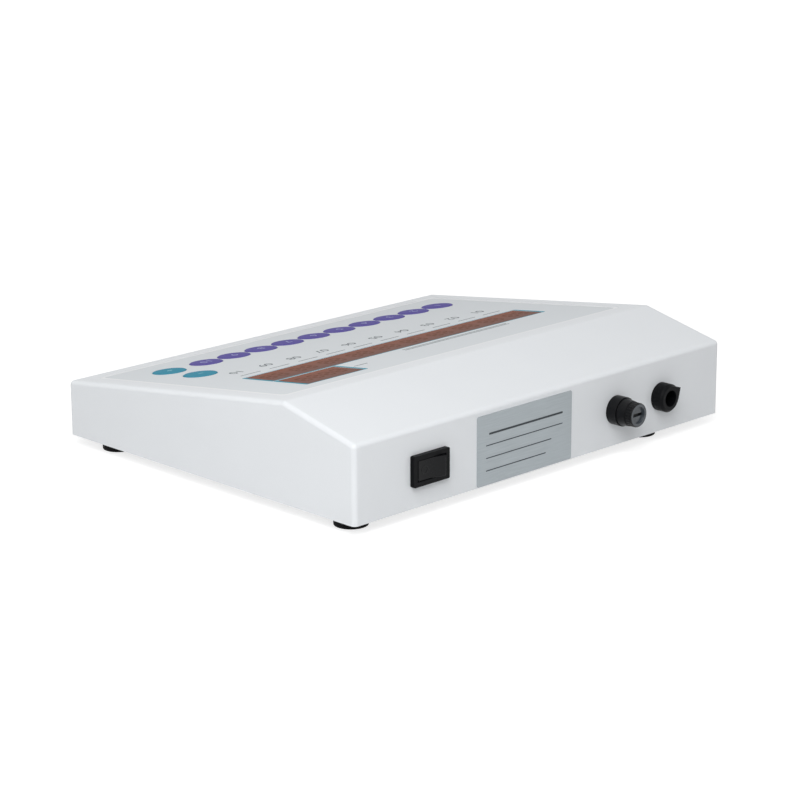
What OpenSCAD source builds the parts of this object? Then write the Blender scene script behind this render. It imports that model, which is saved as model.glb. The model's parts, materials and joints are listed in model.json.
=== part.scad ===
// Desk-top tally counter: sloping case, round count keys, LED windows and mains fittings at the back.
// +X is the user's right, +Y the rear and +Z up. The origin is on the table, under the middle.

/* [Case] */
// Width of the case, from side to side
case_w = 260; // [254:1:290]
// Depth of the case, from the front face to the rear face
case_d = 208; // [204:1:230]
// Height of the front face
front_h = 28; // [26:0.5:34]
// Height of the rear face
rear_h = 38.5; // [36.5:0.5:44]
// Height of the ridge above the bottom of the case
ridge_h = 49.5; // [46:0.5:56]
// Distance of the ridge ahead of the rear face
ridge_back = 47.5; // [40:0.5:51]
// Thickness of the moulded walls
wall = 2.5; // [2.3:0.1:3.5]
// Radius on the outer edges
edge_r = 2.5; // [1:0.1:4]
// Thickness of the base plate
base_t = 2; // [1.5:0.1:3]
// Diameter of the bosses that take the case screws
case_boss_d = 8; // [7:0.5:10]

/* [Feet] */
// Diameter of a rubber foot
foot_d = 17; // [14:0.5:22]
// Height of a rubber foot
foot_h = 5.5; // [4:0.1:8]
// Distance of the right feet from the right side of the case
foot_right = 13.5; // [12:0.5:40]
// Distance of the left feet from the left side of the case
foot_left = 43; // [12:0.5:60]
// Distance of the rear feet from the rear face
foot_rear = 16.5; // [12:0.5:30]
// Distance of the front feet from the front face
foot_front = 22; // [12:0.5:40]

/* [Key panel] */
// Thickness of the printed overlay
overlay_t = 0.6; // [0.4:0.1:0.8]
// Depth of the overlay's face below the case's top face
overlay_sink = 0.2; // [0.1:0.05:0.4]
// Margin of case round the overlay
overlay_margin = 10.5; // [8:0.5:13]
// Corner radius of the overlay
overlay_r = 3; // [1:0.5:6]
// Diameter of a key
key_d = 17.2; // [14:0.1:17.5]
// Clear space between two neighbouring count keys
key_space = 1.4; // [1.3:0.1:3]
// Extra space between the count keys and the function keys
mode_gap = 5.6; // [4:0.1:6]
// Clear space between the two function keys
mode_space = 7; // [6:0.5:11]
// Middle of the row of count keys, across the case
keys_mid_x = -14.2; // [-16:0.1:-8]
// Middle of the row of count keys, from the front edge of the panel
keys_v = 36; // [34:0.5:42]
// Height of a key's top above the overlay
key_rise = 0.5; // [0.4:0.05:1.5]
// Travel of a key
key_travel = 0.45; // [0.3:0.05:0.5]
// Diameter of a key's stem
stem_d = 5; // [4:0.25:6]
// Thickness of the plate that guides the stems
guide_t = 1.5; // [1:0.1:2]

/* [Windows] */
// Length of the long window
window_len = 190.8; // [180:0.2:200]
// Height of the long window
window_h = 21.5; // [18:0.5:23]
// Middle of the long window, across the case
window_mid_x = -1.8; // [-6:0.1:4]
// Front edge of the long window, from the front edge of the panel
window_v = 94.3; // [92:0.1:96]
// Length of the short window
total_len = 36.8; // [34:0.2:60]
// Height of the short window
total_h = 22.6; // [18:0.2:23]
// Width of the coloured border round the windows
border_w = 1.8; // [1.5:0.1:2.5]

/* [Switch] */
// Middle of the switch, across the case
switch_x = 83; // [70:0.5:90]
// Width of the switch's bezel
bezel_w = 23.3; // [21:0.1:26]
// Height of the switch's bezel
bezel_h = 15; // [14:0.1:18]
// Thickness of the bezel in front of the rear face
bezel_t = 2.6; // [2:0.1:3]
// Depth of the switch behind the rear face
switch_depth = 14; // [13:0.5:20]
// Tilt of the rocker to either side of its middle
rocker_tilt = 9; // [6:0.5:11]

/* [Fuse holder] */
// Middle of the fuse holder, across the case
fuse_x = -48.9; // [-54:0.1:-40]
// Diameter of the collar outside the case
collar_d = 14.8; // [14:0.1:18]
// Length of the collar outside the case
collar_len = 6; // [4:0.5:8]
// Diameter of the barrel inside the case
barrel_d = 12; // [11.5:0.1:13]
// Diameter of the fuse carrier
carrier_d = 8.8; // [8.4:0.1:9]
// Diameter of the cap's shoulder
shoulder_d = 13.8; // [12.5:0.1:16]
// Length of the cap's shoulder
shoulder_len = 4.5; // [3.5:0.1:6]
// Diameter of the cap's grip
grip_d = 12; // [10:0.1:12.4]
// Length of the cap's grip
grip_len = 4.2; // [3.5:0.1:8]

/* [Cord gland and rating plate] */
// Middle of the cord gland, across the case
gland_x = -83.2; // [-90:0.1:-78]
// Outer diameter of the gland
gland_d = 14.5; // [13.8:0.1:18]
// Length of the gland outside the case
gland_len = 7; // [4:0.5:10]
// Bore of the gland, for the cord
gland_bore = 8.4; // [6:0.1:9]
// Height of the switch, the fuse holder and the gland above the bottom of the case
fittings_z = 18.3; // [16:0.1:20]
// Width of the rating plate
plate_w = 66.3; // [50:0.1:70]
// Height of the rating plate
plate_h = 34.5; // [20:0.5:35]
// Middle of the rating plate, above the bottom of the case
plate_z = 17.8; // [17.5:0.1:18.5]
// Thickness of the rating plate
plate_t = 0.4; // [0.3:0.1:1]
// Middle of the rating plate, across the case
plate_x = 17.5; // [10:0.5:22]

/* [Electronics] */
// Height of a digit module above its board
digit_t = 7.6; // [7:0.1:9]
// Width of a two-digit module
digit_w = 15; // [12:0.5:16]
// Depth of a digit module along the panel
digit_h = 14; // [10:0.5:17]
// Length of the four-digit module
total_w = 30; // [24:0.5:32]
// Thickness of both circuit boards
board_t = 1.6; // [1.2:0.1:2]
// Width of the power board
power_w = 100; // [96:1:110]
// Depth of the power board
power_d = 75; // [72:1:80]
// Height of the power board above the base plate
standoff_h = 6; // [5:0.5:8]

/* [Hidden] */
$fn = 64;

// Clearances and small overlaps that make a clean cut
cut = 1;
slip_fit = 0.1;
loose_fit = 0.2;
turn_fit = 0.05;
bed = 0.8;

// Case planes, from the table up and from front to back
cap_gap = 0.3;
fuse_reach = collar_len + cap_gap + shoulder_len + grip_len;
case_z = foot_h;
front_y = -(case_d + fuse_reach) / 2;
rear_y = front_y + case_d;
case_mid_y = (front_y + rear_y) / 2;
inner_x = case_w / 2 - wall;
panel_slope = atan((ridge_h - front_h) / (case_d - ridge_back));
rear_slope = atan((ridge_h - rear_h) / ridge_back);
panel_len = (case_d - ridge_back) / cos(panel_slope);
base_top = case_z + base_t;

function panel_z(y) = case_z + front_h + (y - front_y) * tan(panel_slope);
function slope_z(y) = case_z + rear_h + (rear_y - y) * tan(rear_slope);
function panel_drop(depth) = depth / cos(panel_slope);
function slope_drop(depth) = depth / cos(rear_slope);
function roof_z(y) = min(panel_z(y) - panel_drop(wall), slope_z(y) - slope_drop(wall));

// Ridge of the profile that lies a given depth inside the outer faces
function ridge_y(depth) =
    (rear_h - front_h + rear_y * tan(rear_slope) + front_y * tan(panel_slope)
     + panel_drop(depth) - slope_drop(depth)) / (tan(panel_slope) + tan(rear_slope));

// Front, ridge and rear points of that profile, each as [y, z]
function profile(depth) = [
    [front_y + depth, panel_z(front_y + depth) - panel_drop(depth)],
    [ridge_y(depth), panel_z(ridge_y(depth)) - panel_drop(depth)],
    [rear_y - depth, slope_z(rear_y - depth) - slope_drop(depth)]
];

// Screws
screw_d = 3;
screw_head_d = 5.6;
screw_head_t = 1.8;
screw_slot_len = 3.4;
screw_slot_w = 0.9;
screw_slot_t = 0.9;
screw_bite = 10;
pilot_d = screw_d + 2 * turn_fit;
clear_d = screw_d + 2 * slip_fit;
nut_af = 5.5;
nut_t = 2.4;
case_boss_x = inner_x - case_boss_d / 2 + bed;
case_boss_pitch = 62;
case_boss_y = [-case_boss_pitch, 0, case_boss_pitch];
case_boss_places = [for (sx = [-1, 1], dy = case_boss_y) [sx * case_boss_x, case_mid_y + dy]];

// Feet, each as [x, y]
foot_taper = 0.3;
foot_recess_d = 8;
foot_recess_h = 2.4;
right_foot_x = case_w / 2 - foot_right;
left_foot_x = -case_w / 2 + foot_left;
rear_foot_y = rear_y - foot_rear;
front_foot_y = front_y + foot_front;
foot_places = [
    [right_foot_x, rear_foot_y], [left_foot_x, rear_foot_y],
    [right_foot_x, front_foot_y], [left_foot_x, front_foot_y]
];

// Key panel: v runs up the panel from its front edge, n stands out of its face
pocket = overlay_t + overlay_sink;
overlay_w = case_w - 2 * overlay_margin;
overlay_len = panel_len - 2 * overlay_margin;
key_lip = 0.5;
key_gap = 0.2;
key_play = 0.05;
key_stop = 0.2;
key_edge = 0.3;
flange_d = key_d + 2 * key_lip;
flange_t = wall - pocket - key_play - key_travel - key_stop;
slot_gap = 0.35;
slot_half = flange_d / 2 + slot_gap;
key_pitch = key_d + key_space;
key_count = 10;
function spread(mid, pitch) = [for (i = [0:key_count - 1]) mid + (i - (key_count - 1) / 2) * pitch];
key_xs = spread(keys_mid_x, key_pitch);
mode_x = key_xs[key_count - 1] + key_pitch + mode_gap;
mode_v = keys_v + key_d + mode_space;
mode_vs = [keys_v, mode_v];
key_places = concat([for (x = key_xs) [x, keys_v]], [for (v = mode_vs) [mode_x, v]]);
guide_margin = 6;
guide_v0 = keys_v - slot_half - guide_margin;
guide_v1 = mode_v + slot_half + guide_margin / 2;
guide_x0 = key_xs[0] - slot_half - guide_margin / 2;
guide_x1 = mode_x + slot_half + guide_margin / 2;
stake_d = 3;
stake_head_d = 5;
stake_head_t = 0.8;
stake_vs = [keys_v - slot_half - guide_margin / 2, keys_v + slot_half + guide_margin];
stake_xs = [for (i = [1, 4, 7]) (key_xs[i] + key_xs[i + 1]) / 2];

// Windows and the smoked filters that fill them
lens_lip = 0.5;
window_x1 = window_mid_x + window_len / 2;
window_mid_v = window_v + window_h / 2;
total_v = window_v + window_h + border_w;
total_mid_x = window_x1 - total_len / 2;

// Display board and what stands on it
digit_gap = 0.4;
board_n = -(wall + digit_gap + digit_t);
board_boss_d = 6;
board_side = 14;
board_rim = 4;
board_half = inner_x - board_side;
board_boss_vs = [
    guide_v0 - board_boss_d / 2 - cut,
    (guide_v1 + window_v) / 2,
    total_v + total_h + board_boss_d
];
board_boss_xs = [-board_half + board_rim + cut, 0, board_half - board_rim - cut];
board_v0 = board_boss_vs[0] - board_rim;
board_v1 = board_boss_vs[2] + board_rim;
board_under = board_n - board_t;
board_bite = 5;
tact_w = 6;
tact_body_t = 3.5;
tact_pin_d = 3.5;
tact_h = 5;
tact_gap = 0.05;
stem_end = board_n + tact_h + key_travel + tact_gap;
digit_xs = spread(window_mid_x, window_len / key_count);
chip_size = [52, 14, 4];
chip_place = [-40, 66];
beeper_d = 12;
beeper_t = 9;
beeper_hole_d = 3;
beeper_hole_t = 1;
beeper_place = [60, 52];

// Power board and what stands on it, each at [x from its left end, distance ahead of its rear edge]
power_x0 = -70;
power_back = 56;
core_in = [24, 30];
capacitor_in = [58, 26];
sink_in = [70, 58];
terminal_in = 70;
header_in = 42;
power_y1 = rear_y - power_back;
power_y0 = power_y1 - power_d;
function on_board(place) = [power_x0 + place[0], power_y1 - place[1]];
power_z = base_top + standoff_h;
power_top = power_z + board_t;
power_rim = 4;
power_places = [
    for (x = [power_x0 + power_rim, power_x0 + power_w - power_rim])
        for (y = [power_y0 + power_rim, power_y1 - power_rim]) [x, y]
];
standoff_d = 6;
core_size = [26, 20, 18];
core_leg = 5;
core_window = (core_size[0] - 3 * core_leg) / 2;
core_place = on_board(core_in);
winding_gap = 0.4;
capacitor_d = 13;
capacitor_h = 19;
capacitor_place = on_board(capacitor_in);
sink_size = [28, 12, 15];
sink_back = 3;
sink_fins = 5;
sink_fin_w = 2;
sink_place = on_board(sink_in);
regulator_size = [10, 4.5, 15];
terminal_size = [44, 8, 10];
terminal_x = power_x0 + terminal_in;
terminal_bore = 2.2;
terminal_count = 4;
terminal_pitch = 10;
terminal_xs = [for (i = [0:terminal_count - 1]) terminal_x + (i - (terminal_count - 1) / 2) * terminal_pitch];
terminal_bore_z = power_top + terminal_size[2] / 2;
lead_seat = 3;

// Headers and the flat cable between the boards: the upper header lies behind the lower one
header_size = [20, 6, 7];
header_x = power_x0 + header_in;
header_rim = 10;
header_shift = 18;
power_header_y = power_y0 + header_rim;
display_header_v = (power_header_y + header_shift - front_y) / cos(panel_slope);
ribbon_w = 16;
ribbon_t = 1;
ribbon_steps = 16;
ribbon_droop = 10;
plug_gap = 0.05;

// Switch
bezel_lip = 1.2;
bezel_r = 0.8;
switch_wall = 1.1;
switch_w = bezel_w - 2 * bezel_lip;
switch_h = bezel_h - 2 * bezel_lip;
opening_w = switch_w - 2 * switch_wall;
opening_h = switch_h - 2 * switch_wall;
rocker_gap = 0.25;
rocker_r = opening_w / 2 - rocker_gap;
rocker_h = opening_h - 2 * rocker_gap;
pivot_in = 1;
pivot_d = 2.4;
pivot_len = switch_h - 2 * rocker_gap;
rocker_drop = 0.2;
rocker_back = 2.5;
rocker_well = 7.5;
tab_size = [4.8, 0.8, 7];
tab_xs = [-5, 5];

// Fuse holder: p stands out of the rear face
barrel_len = 22;
barrel_floor = 3;
barrel_flat = 0.6;
carrier_fit = 0.1;
carrier_in = 12;
carrier_wall = 1.6;
neck_d = 6;
neck_len = 5;
neck_play = 0.4;
fuse_d = 5;
fuse_len = 20;
fuse_cap_len = 5;
fuse_cap_t = 0.15;
fuse_front = 3.5;
contact_d = 7;
rivet_d = 2.4;
fuse_tab = [4, 0.8, 7];
dish_d = 8.6;
dish_t = 1.2;
coin_slot_w = 1.6;
coin_slot_t = 1;
panel_nut_af = 16;
panel_nut_t = 4;

// Cord gland
gland_barrel_d = 12.4;
gland_in = 9;
gland_edge = 1.2;
ear_reach = 1.5;
ear_side = 6;
ear_turn = 30;
ear_t = 3;
plate_r = 1;

// Leads inside the case
lead_d = 1.8;
lead_sides = 8;
lead_straight = 2;
lead_pull = 12;
bend_steps = 12;
seat_y = power_y1 - lead_seat;

// Puts children on the key panel: x across, y up the panel, z out of its face
module on_panel() {
    translate([0, front_y, case_z + front_h]) rotate([panel_slope, 0, 0]) children();
}

// Puts children on the rear face: x across, y down, z out of the face
module on_rear(x) {
    translate([x, rear_y, case_z + fittings_z]) rotate([-90, 0, 0]) children();
}

// Turns a [y, z] outline into a bar of the given length along x
module along_x(length) {
    translate([-length / 2, 0, 0]) rotate([90, 0, 90]) linear_extrude(length) children();
}

module rounded_rect(w, h, r) {
    square([w - 2 * r, h], center = true);
    square([w, h - 2 * r], center = true);
    for (sx = [-1, 1], sy = [-1, 1]) translate([sx * (w / 2 - r), sy * (h / 2 - r)]) circle(r);
}

// Block from z = 0 up, centred across x and y
module block(size) {
    translate([-size[0] / 2, -size[1] / 2, 0]) cube(size);
}

// Round hole from z = 0 up, run out past both ends
module drill(d, length) {
    translate([0, 0, -cut]) cylinder(d = d, h = length + 2 * cut);
}

module hex_nut(af, t, bore) {
    difference() {
        cylinder(d = af / cos(30), h = t, $fn = 6);
        drill(bore, t);
    }
}

// Screw that points up from z = 0, with its head and cross recess below
module screw(length) {
    difference() {
        union() {
            translate([0, 0, -screw_head_t]) cylinder(d = screw_head_d, h = screw_head_t);
            cylinder(d = screw_d, h = length);
        }
        for (a = [0, 90]) {
            rotate([0, 0, a]) translate([0, 0, -screw_head_t - cut])
                block([screw_slot_len, screw_slot_w, screw_slot_t + cut]);
        }
    }
}

// Outline of the opening in the case's top wall behind one window
module window_cut(mid_x, v0, len, h) {
    margin = lens_lip + slip_fit;
    translate([mid_x - len / 2 - margin, v0 - margin]) square([len + 2 * margin, h + 2 * margin]);
}

module case_outer() {
    hull() {
        for (sx = [-1, 1]) {
            for (p = profile(edge_r)) {
                translate([sx * (case_w / 2 - edge_r), p[0], p[1]]) sphere(edge_r, $fn = 32);
            }
            for (y = [front_y + edge_r, rear_y - edge_r]) {
                translate([sx * (case_w / 2 - edge_r), y, case_z]) cylinder(r = edge_r, h = cut, $fn = 32);
            }
        }
    }
}

module case_cavity() {
    along_x(2 * inner_x) polygon(concat(
        [[front_y + wall, case_z - cut]], profile(wall), [[rear_y - wall, case_z - cut]]
    ));
}

// Key slots, window openings and overlay pocket, cut square to the panel
module panel_cuts() {
    slot_x0 = key_xs[0] - slot_half;
    slot_len = key_xs[key_count - 1] - slot_x0 + slot_half;
    translate([0, 0, -pocket]) linear_extrude(pocket + cut) translate([0, overlay_margin + overlay_len / 2])
        rounded_rect(overlay_w + 2 * slip_fit, overlay_len + 2 * slip_fit, overlay_r);
    translate([0, 0, -wall - cut]) linear_extrude(wall + cut) {
        translate([slot_x0, keys_v - slot_half]) square([slot_len, 2 * slot_half]);
        translate([mode_x - slot_half, keys_v - slot_half])
            square([2 * slot_half, mode_v - keys_v + 2 * slot_half]);
        window_cut(window_mid_x, window_v, window_len, window_h);
        window_cut(total_mid_x, window_mid_v, total_len, total_v + total_h - window_mid_v);
    }
}

// Holes in the rear wall
module rear_cuts() {
    depth = wall + 2 * cut;
    on_rear(switch_x) translate([0, 0, -wall - cut])
        block([switch_w + 2 * slip_fit, switch_h + 2 * slip_fit, depth]);
    on_rear(fuse_x) translate([0, 0, -wall - cut]) cylinder(d = barrel_d + 2 * slip_fit, h = depth);
    on_rear(gland_x) translate([0, 0, -wall - cut]) cylinder(d = gland_barrel_d + 2 * slip_fit, h = depth);
}

module top_case() {
    color("whitesmoke") difference() {
        union() {
            difference() {
                case_outer();
                case_cavity();
                on_panel() panel_cuts();
                rear_cuts();
            }
            for (p = case_boss_places) {
                translate([p[0], p[1], base_top])
                    cylinder(d = case_boss_d, h = roof_z(p[1]) + bed - base_top);
            }
            on_panel() {
                for (x = board_boss_xs, v = board_boss_vs) {
                    translate([x, v, board_n]) cylinder(d = board_boss_d, h = -board_n - wall + bed);
                }
                for (x = stake_xs, v = stake_vs) {
                    translate([x, v, -wall - guide_t]) cylinder(d = stake_d, h = guide_t + bed);
                    translate([x, v, -wall - guide_t - stake_head_t])
                        cylinder(d = stake_head_d, h = stake_head_t);
                }
            }
        }
        for (p = case_boss_places) {
            translate([p[0], p[1], base_top]) drill(pilot_d, screw_bite);
        }
        on_panel() for (x = board_boss_xs, v = board_boss_vs) {
            translate([x, v, board_n]) drill(pilot_d, board_bite);
        }
    }
}

module base_plate() {
    color("gainsboro") difference() {
        translate([-inner_x + slip_fit, front_y + wall + slip_fit, case_z])
            cube([2 * (inner_x - slip_fit), case_d - 2 * (wall + slip_fit), base_t]);
        for (p = concat(case_boss_places, foot_places, power_places)) {
            translate([p[0], p[1], case_z]) drill(clear_d, base_t);
        }
    }
}

// Rubber foot with a recess underneath for its screw
module foot(place) {
    color("#202022") translate([place[0], place[1], 0]) difference() {
        rotate_extrude() polygon([
            [0, 0], [foot_d / 2 - foot_taper - key_edge, 0], [foot_d / 2 - foot_taper, key_edge],
            [foot_d / 2, foot_h], [0, foot_h]
        ]);
        translate([0, 0, -cut]) cylinder(d = foot_recess_d, h = foot_recess_h + cut);
        drill(clear_d, foot_h);
    }
}

module foot_screws() {
    length = foot_h - foot_recess_h + base_t + nut_t + cut;
    color("silver") for (p = foot_places) translate([p[0], p[1], foot_recess_h]) screw(length);
}

module foot_nuts() {
    color("silver") for (p = foot_places) {
        translate([p[0], p[1], base_top]) hex_nut(nut_af, nut_t, pilot_d);
    }
}

module case_screws() {
    color("silver") for (p = case_boss_places) translate([p[0], p[1], case_z]) screw(base_t + screw_bite);
}

module key_overlay() {
    color("#c8d0d6") on_panel() translate([0, 0, -pocket]) linear_extrude(overlay_t) difference() {
        translate([0, overlay_margin + overlay_len / 2]) rounded_rect(overlay_w, overlay_len, overlay_r);
        for (p = key_places) translate(p) circle(d = key_d + 2 * key_gap);
        translate([window_mid_x - window_len / 2, window_v]) square([window_len, window_h]);
        translate([total_mid_x - total_len / 2, total_v]) square([total_len, total_h]);
    }
}

module key_guide() {
    color("dimgray") on_panel() translate([0, 0, -wall - guide_t]) linear_extrude(guide_t) difference() {
        translate([guide_x0, guide_v0]) square([guide_x1 - guide_x0, guide_v1 - guide_v0]);
        for (p = key_places) translate(p) circle(d = stem_d + 2 * slip_fit);
        for (x = stake_xs, v = stake_vs) translate([x, v]) circle(d = stake_d + 2 * turn_fit);
    }
}

// Smoked filter with a thin lip that sits behind the overlay
module window_lens(mid_x, v0, len, h) {
    color("#7f4a3c") on_panel() {
        translate([mid_x - len / 2 + slip_fit, v0 + slip_fit, -pocket - cut / 2])
            cube([len - 2 * slip_fit, h - 2 * slip_fit, overlay_t + cut / 2]);
        translate([mid_x - len / 2 - lens_lip, v0 - lens_lip, -wall])
            cube([len + 2 * lens_lip, h + 2 * lens_lip, wall - pocket]);
    }
}

module tally_window() {
    window_lens(window_mid_x, window_v, window_len, window_h);
}

module total_window() {
    window_lens(total_mid_x, total_v, total_len, total_h);
}

// Round key: cap above the overlay, flange below it and a stem down to its switch
module key_body(place) {
    top = key_rise - overlay_sink;
    flange_top = -pocket - key_play;
    flange_end = flange_top - flange_t;
    on_panel() translate([place[0], place[1], 0]) rotate_extrude() polygon([
        [0, top], [key_d / 2 - key_edge, top], [key_d / 2, top - key_edge], [key_d / 2, flange_top],
        [flange_d / 2, flange_top], [flange_d / 2, flange_end], [stem_d / 2, flange_end],
        [stem_d / 2, stem_end], [0, stem_end]
    ]);
}

module tally_key(i) {
    color("#5a57a0") key_body([key_xs[i], keys_v]);
}

module mode_key(i) {
    color("#3c8ca0") key_body([mode_x, mode_vs[i]]);
}

module display_board() {
    color("darkgreen") on_panel() difference() {
        translate([-board_half, board_v0, board_under]) cube([2 * board_half, board_v1 - board_v0, board_t]);
        for (x = board_boss_xs, v = board_boss_vs) {
            translate([x, v, board_under]) drill(clear_d, board_t);
        }
    }
}

module board_screws() {
    color("silver") on_panel() for (x = board_boss_xs, v = board_boss_vs) {
        translate([x, v, board_under]) screw(board_t + board_bite);
    }
}

module key_switches() {
    color("#303030") on_panel() for (p = key_places) translate([p[0], p[1], board_n]) {
        block([tact_w, tact_w, tact_body_t]);
        cylinder(d = tact_pin_d, h = tact_h);
    }
}

module tally_digits() {
    color("#3a1512") on_panel() for (x = digit_xs) {
        translate([x, window_mid_v, board_n]) block([digit_w, digit_h, digit_t]);
    }
}

module total_digits() {
    color("#3a1512") on_panel() translate([total_mid_x, total_v + total_h / 2, board_n])
        block([total_w, digit_h, digit_t]);
}

module controller_chip() {
    color("#252525") on_panel() translate([chip_place[0], chip_place[1], board_under - chip_size[2]])
        block(chip_size);
}

module beeper() {
    color("#252525") on_panel() translate([beeper_place[0], beeper_place[1], board_under - beeper_t])
        difference() {
            cylinder(d = beeper_d, h = beeper_t);
            translate([0, 0, -cut]) cylinder(d = beeper_hole_d, h = beeper_hole_t + cut);
        }
}

module display_header() {
    color("ivory") on_panel() translate([header_x, display_header_v, board_under - header_size[2]])
        block(header_size);
}

module power_header() {
    color("ivory") translate([header_x, power_header_y, power_top]) block(header_size);
}

// Ends of the flat cable and the points that pull it straight out of its headers, each as [y, z]
ribbon_n = board_under - header_size[2] - plug_gap;
ribbon_start = [
    front_y + display_header_v * cos(panel_slope) - ribbon_n * sin(panel_slope),
    case_z + front_h + display_header_v * sin(panel_slope) + ribbon_n * cos(panel_slope)
];
ribbon_start_pull = ribbon_start + ribbon_droop * [sin(panel_slope), -cos(panel_slope)];
ribbon_end = [power_header_y, power_top + header_size[2] + plug_gap];
ribbon_end_pull = ribbon_end + [0, ribbon_droop];

// Point on the smooth curve through four control points, and its direction there
function curve_at(a, b, c, d, t) =
    pow(1 - t, 3) * a + 3 * pow(1 - t, 2) * t * b + 3 * (1 - t) * pow(t, 2) * c + pow(t, 3) * d;
function curve_run(a, b, c, d, t) =
    pow(1 - t, 2) * (b - a) + 2 * (1 - t) * t * (c - b) + pow(t, 2) * (d - c);
function ribbon_edge(t, side) = let (
    at = curve_at(ribbon_start, ribbon_start_pull, ribbon_end_pull, ribbon_end, t),
    run = curve_run(ribbon_start, ribbon_start_pull, ribbon_end_pull, ribbon_end, t)
) at + side * ribbon_t / 2 * [-run[1], run[0]] / norm(run);

module ribbon_cable() {
    color("silver") translate([header_x, 0, 0]) along_x(ribbon_w) polygon(concat(
        [for (i = [0:ribbon_steps]) ribbon_edge(i / ribbon_steps, 1)],
        [for (i = [ribbon_steps:-1:0]) ribbon_edge(i / ribbon_steps, -1)]
    ));
}

module power_board() {
    color("darkgreen") difference() {
        translate([power_x0, power_y0, power_z]) cube([power_w, power_d, board_t]);
        for (p = power_places) {
            translate([p[0], p[1], power_z]) drill(clear_d, board_t);
        }
    }
}

module power_standoffs() {
    color("goldenrod") for (p = power_places) translate([p[0], p[1], base_top]) difference() {
        cylinder(d = standoff_d, h = standoff_h);
        drill(clear_d, standoff_h);
    }
}

module power_screws() {
    color("silver") for (p = power_places) translate([p[0], p[1], power_top]) mirror([0, 0, 1])
        screw(board_t + standoff_h + base_t);
}

// Three-legged ferrite core that stands on the power board
module transformer_core() {
    color("#303236") translate([core_place[0], core_place[1], power_top]) difference() {
        block(core_size);
        for (sx = [-1, 1]) translate([sx * (core_leg / 2 + core_window / 2), 0, core_leg])
            block([core_window, core_size[1] + 2 * cut, core_size[2] - 2 * core_leg]);
    }
}

module transformer_winding() {
    height = core_size[2] - 2 * core_leg - 2 * winding_gap;
    outer_w = core_leg + 2 * core_window - 2 * winding_gap;
    color("gold") translate([core_place[0], core_place[1], power_top + core_leg]) difference() {
        block([outer_w, core_size[1] + core_leg, height]);
        translate([0, 0, -cut])
            block([core_leg + 2 * winding_gap, core_size[1] + 2 * winding_gap, height + 2 * cut]);
    }
}

module smoothing_capacitor() {
    color("#2a3350") translate([capacitor_place[0], capacitor_place[1], power_top])
        cylinder(d = capacitor_d, h = capacitor_h);
}

// Extruded heatsink: a back plate with upright fins
module heatsink() {
    pitch = (sink_size[0] - sink_fin_w) / (sink_fins - 1);
    color("#55585c") translate([sink_place[0], sink_place[1], power_top]) {
        translate([0, sink_size[1] / 2 - sink_back / 2, 0]) block([sink_size[0], sink_back, sink_size[2]]);
        for (i = [0:sink_fins - 1]) translate([(i - (sink_fins - 1) / 2) * pitch, 0, 0])
            block([sink_fin_w, sink_size[1], sink_size[2]]);
    }
}

module regulator() {
    regulator_y = sink_place[1] + sink_size[1] / 2 + regulator_size[1] / 2;
    color("#252525") translate([sink_place[0], regulator_y, power_top]) block(regulator_size);
}

// Screw terminal at the back of the power board, with a seat for each lead
module mains_terminal() {
    color("seagreen") difference() {
        translate([terminal_x, power_y1 - terminal_size[1] / 2, power_top]) block(terminal_size);
        for (x = terminal_xs) translate([x, power_y1 + cut, terminal_bore_z]) rotate([90, 0, 0])
            cylinder(d = terminal_bore, h = lead_seat + cut);
    }
}

module switch_body() {
    color("#26272a") on_rear(switch_x) difference() {
        union() {
            linear_extrude(bezel_t) rounded_rect(bezel_w, bezel_h, bezel_r);
            translate([0, 0, -switch_depth]) block([switch_w, switch_h, switch_depth]);
        }
        translate([0, 0, -rocker_well]) block([opening_w, opening_h, rocker_well + bezel_t + cut]);
        translate([0, switch_h / 2 + cut, -pivot_in]) rotate([90, 0, 0])
            cylinder(d = pivot_d + 2 * turn_fit, h = switch_h + 2 * cut);
    }
}

// Rocker with a shallow V face, tilted to one side about an upright pivot
module switch_rocker() {
    face = bezel_t - rocker_drop + pivot_in;
    end = rocker_r * tan(rocker_tilt);
    color("#1e1f22") on_rear(switch_x) translate([0, 0, -pivot_in]) rotate([90, rocker_tilt, 0]) {
        translate([0, 0, -rocker_h / 2]) linear_extrude(rocker_h) intersection() {
            circle(rocker_r);
            polygon([
                [-rocker_r, face + end], [0, face], [rocker_r, face + end],
                [rocker_r, -rocker_back], [-rocker_r, -rocker_back]
            ]);
        }
        translate([0, 0, -pivot_len / 2]) cylinder(d = pivot_d, h = pivot_len);
    }
}

module switch_terminals() {
    color("goldenrod") on_rear(switch_x) for (x = tab_xs) translate([x, 0, -switch_depth - tab_size[2]])
        block(tab_size);
}

module fuse_body() {
    bore = carrier_d + 2 * carrier_fit;
    color("#2a2b2e") on_rear(fuse_x) difference() {
        union() {
            cylinder(d = collar_d, h = collar_len);
            translate([0, 0, -barrel_len]) cylinder(d = barrel_d, h = barrel_len);
        }
        translate([0, 0, barrel_floor - barrel_len]) cylinder(d = bore, h = barrel_len + collar_len);
        translate([0, 0, -barrel_len]) drill(rivet_d + 2 * turn_fit, barrel_floor);
        translate([0, barrel_d - barrel_flat, -barrel_len - cut])
            block([barrel_d, barrel_d, barrel_len - wall - panel_nut_t - cut]);
    }
}

module fuse_nut() {
    color("#2a2b2e") on_rear(fuse_x) translate([0, 0, -wall - panel_nut_t])
        hex_nut(panel_nut_af, panel_nut_t, barrel_d + 2 * turn_fit);
}

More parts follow.
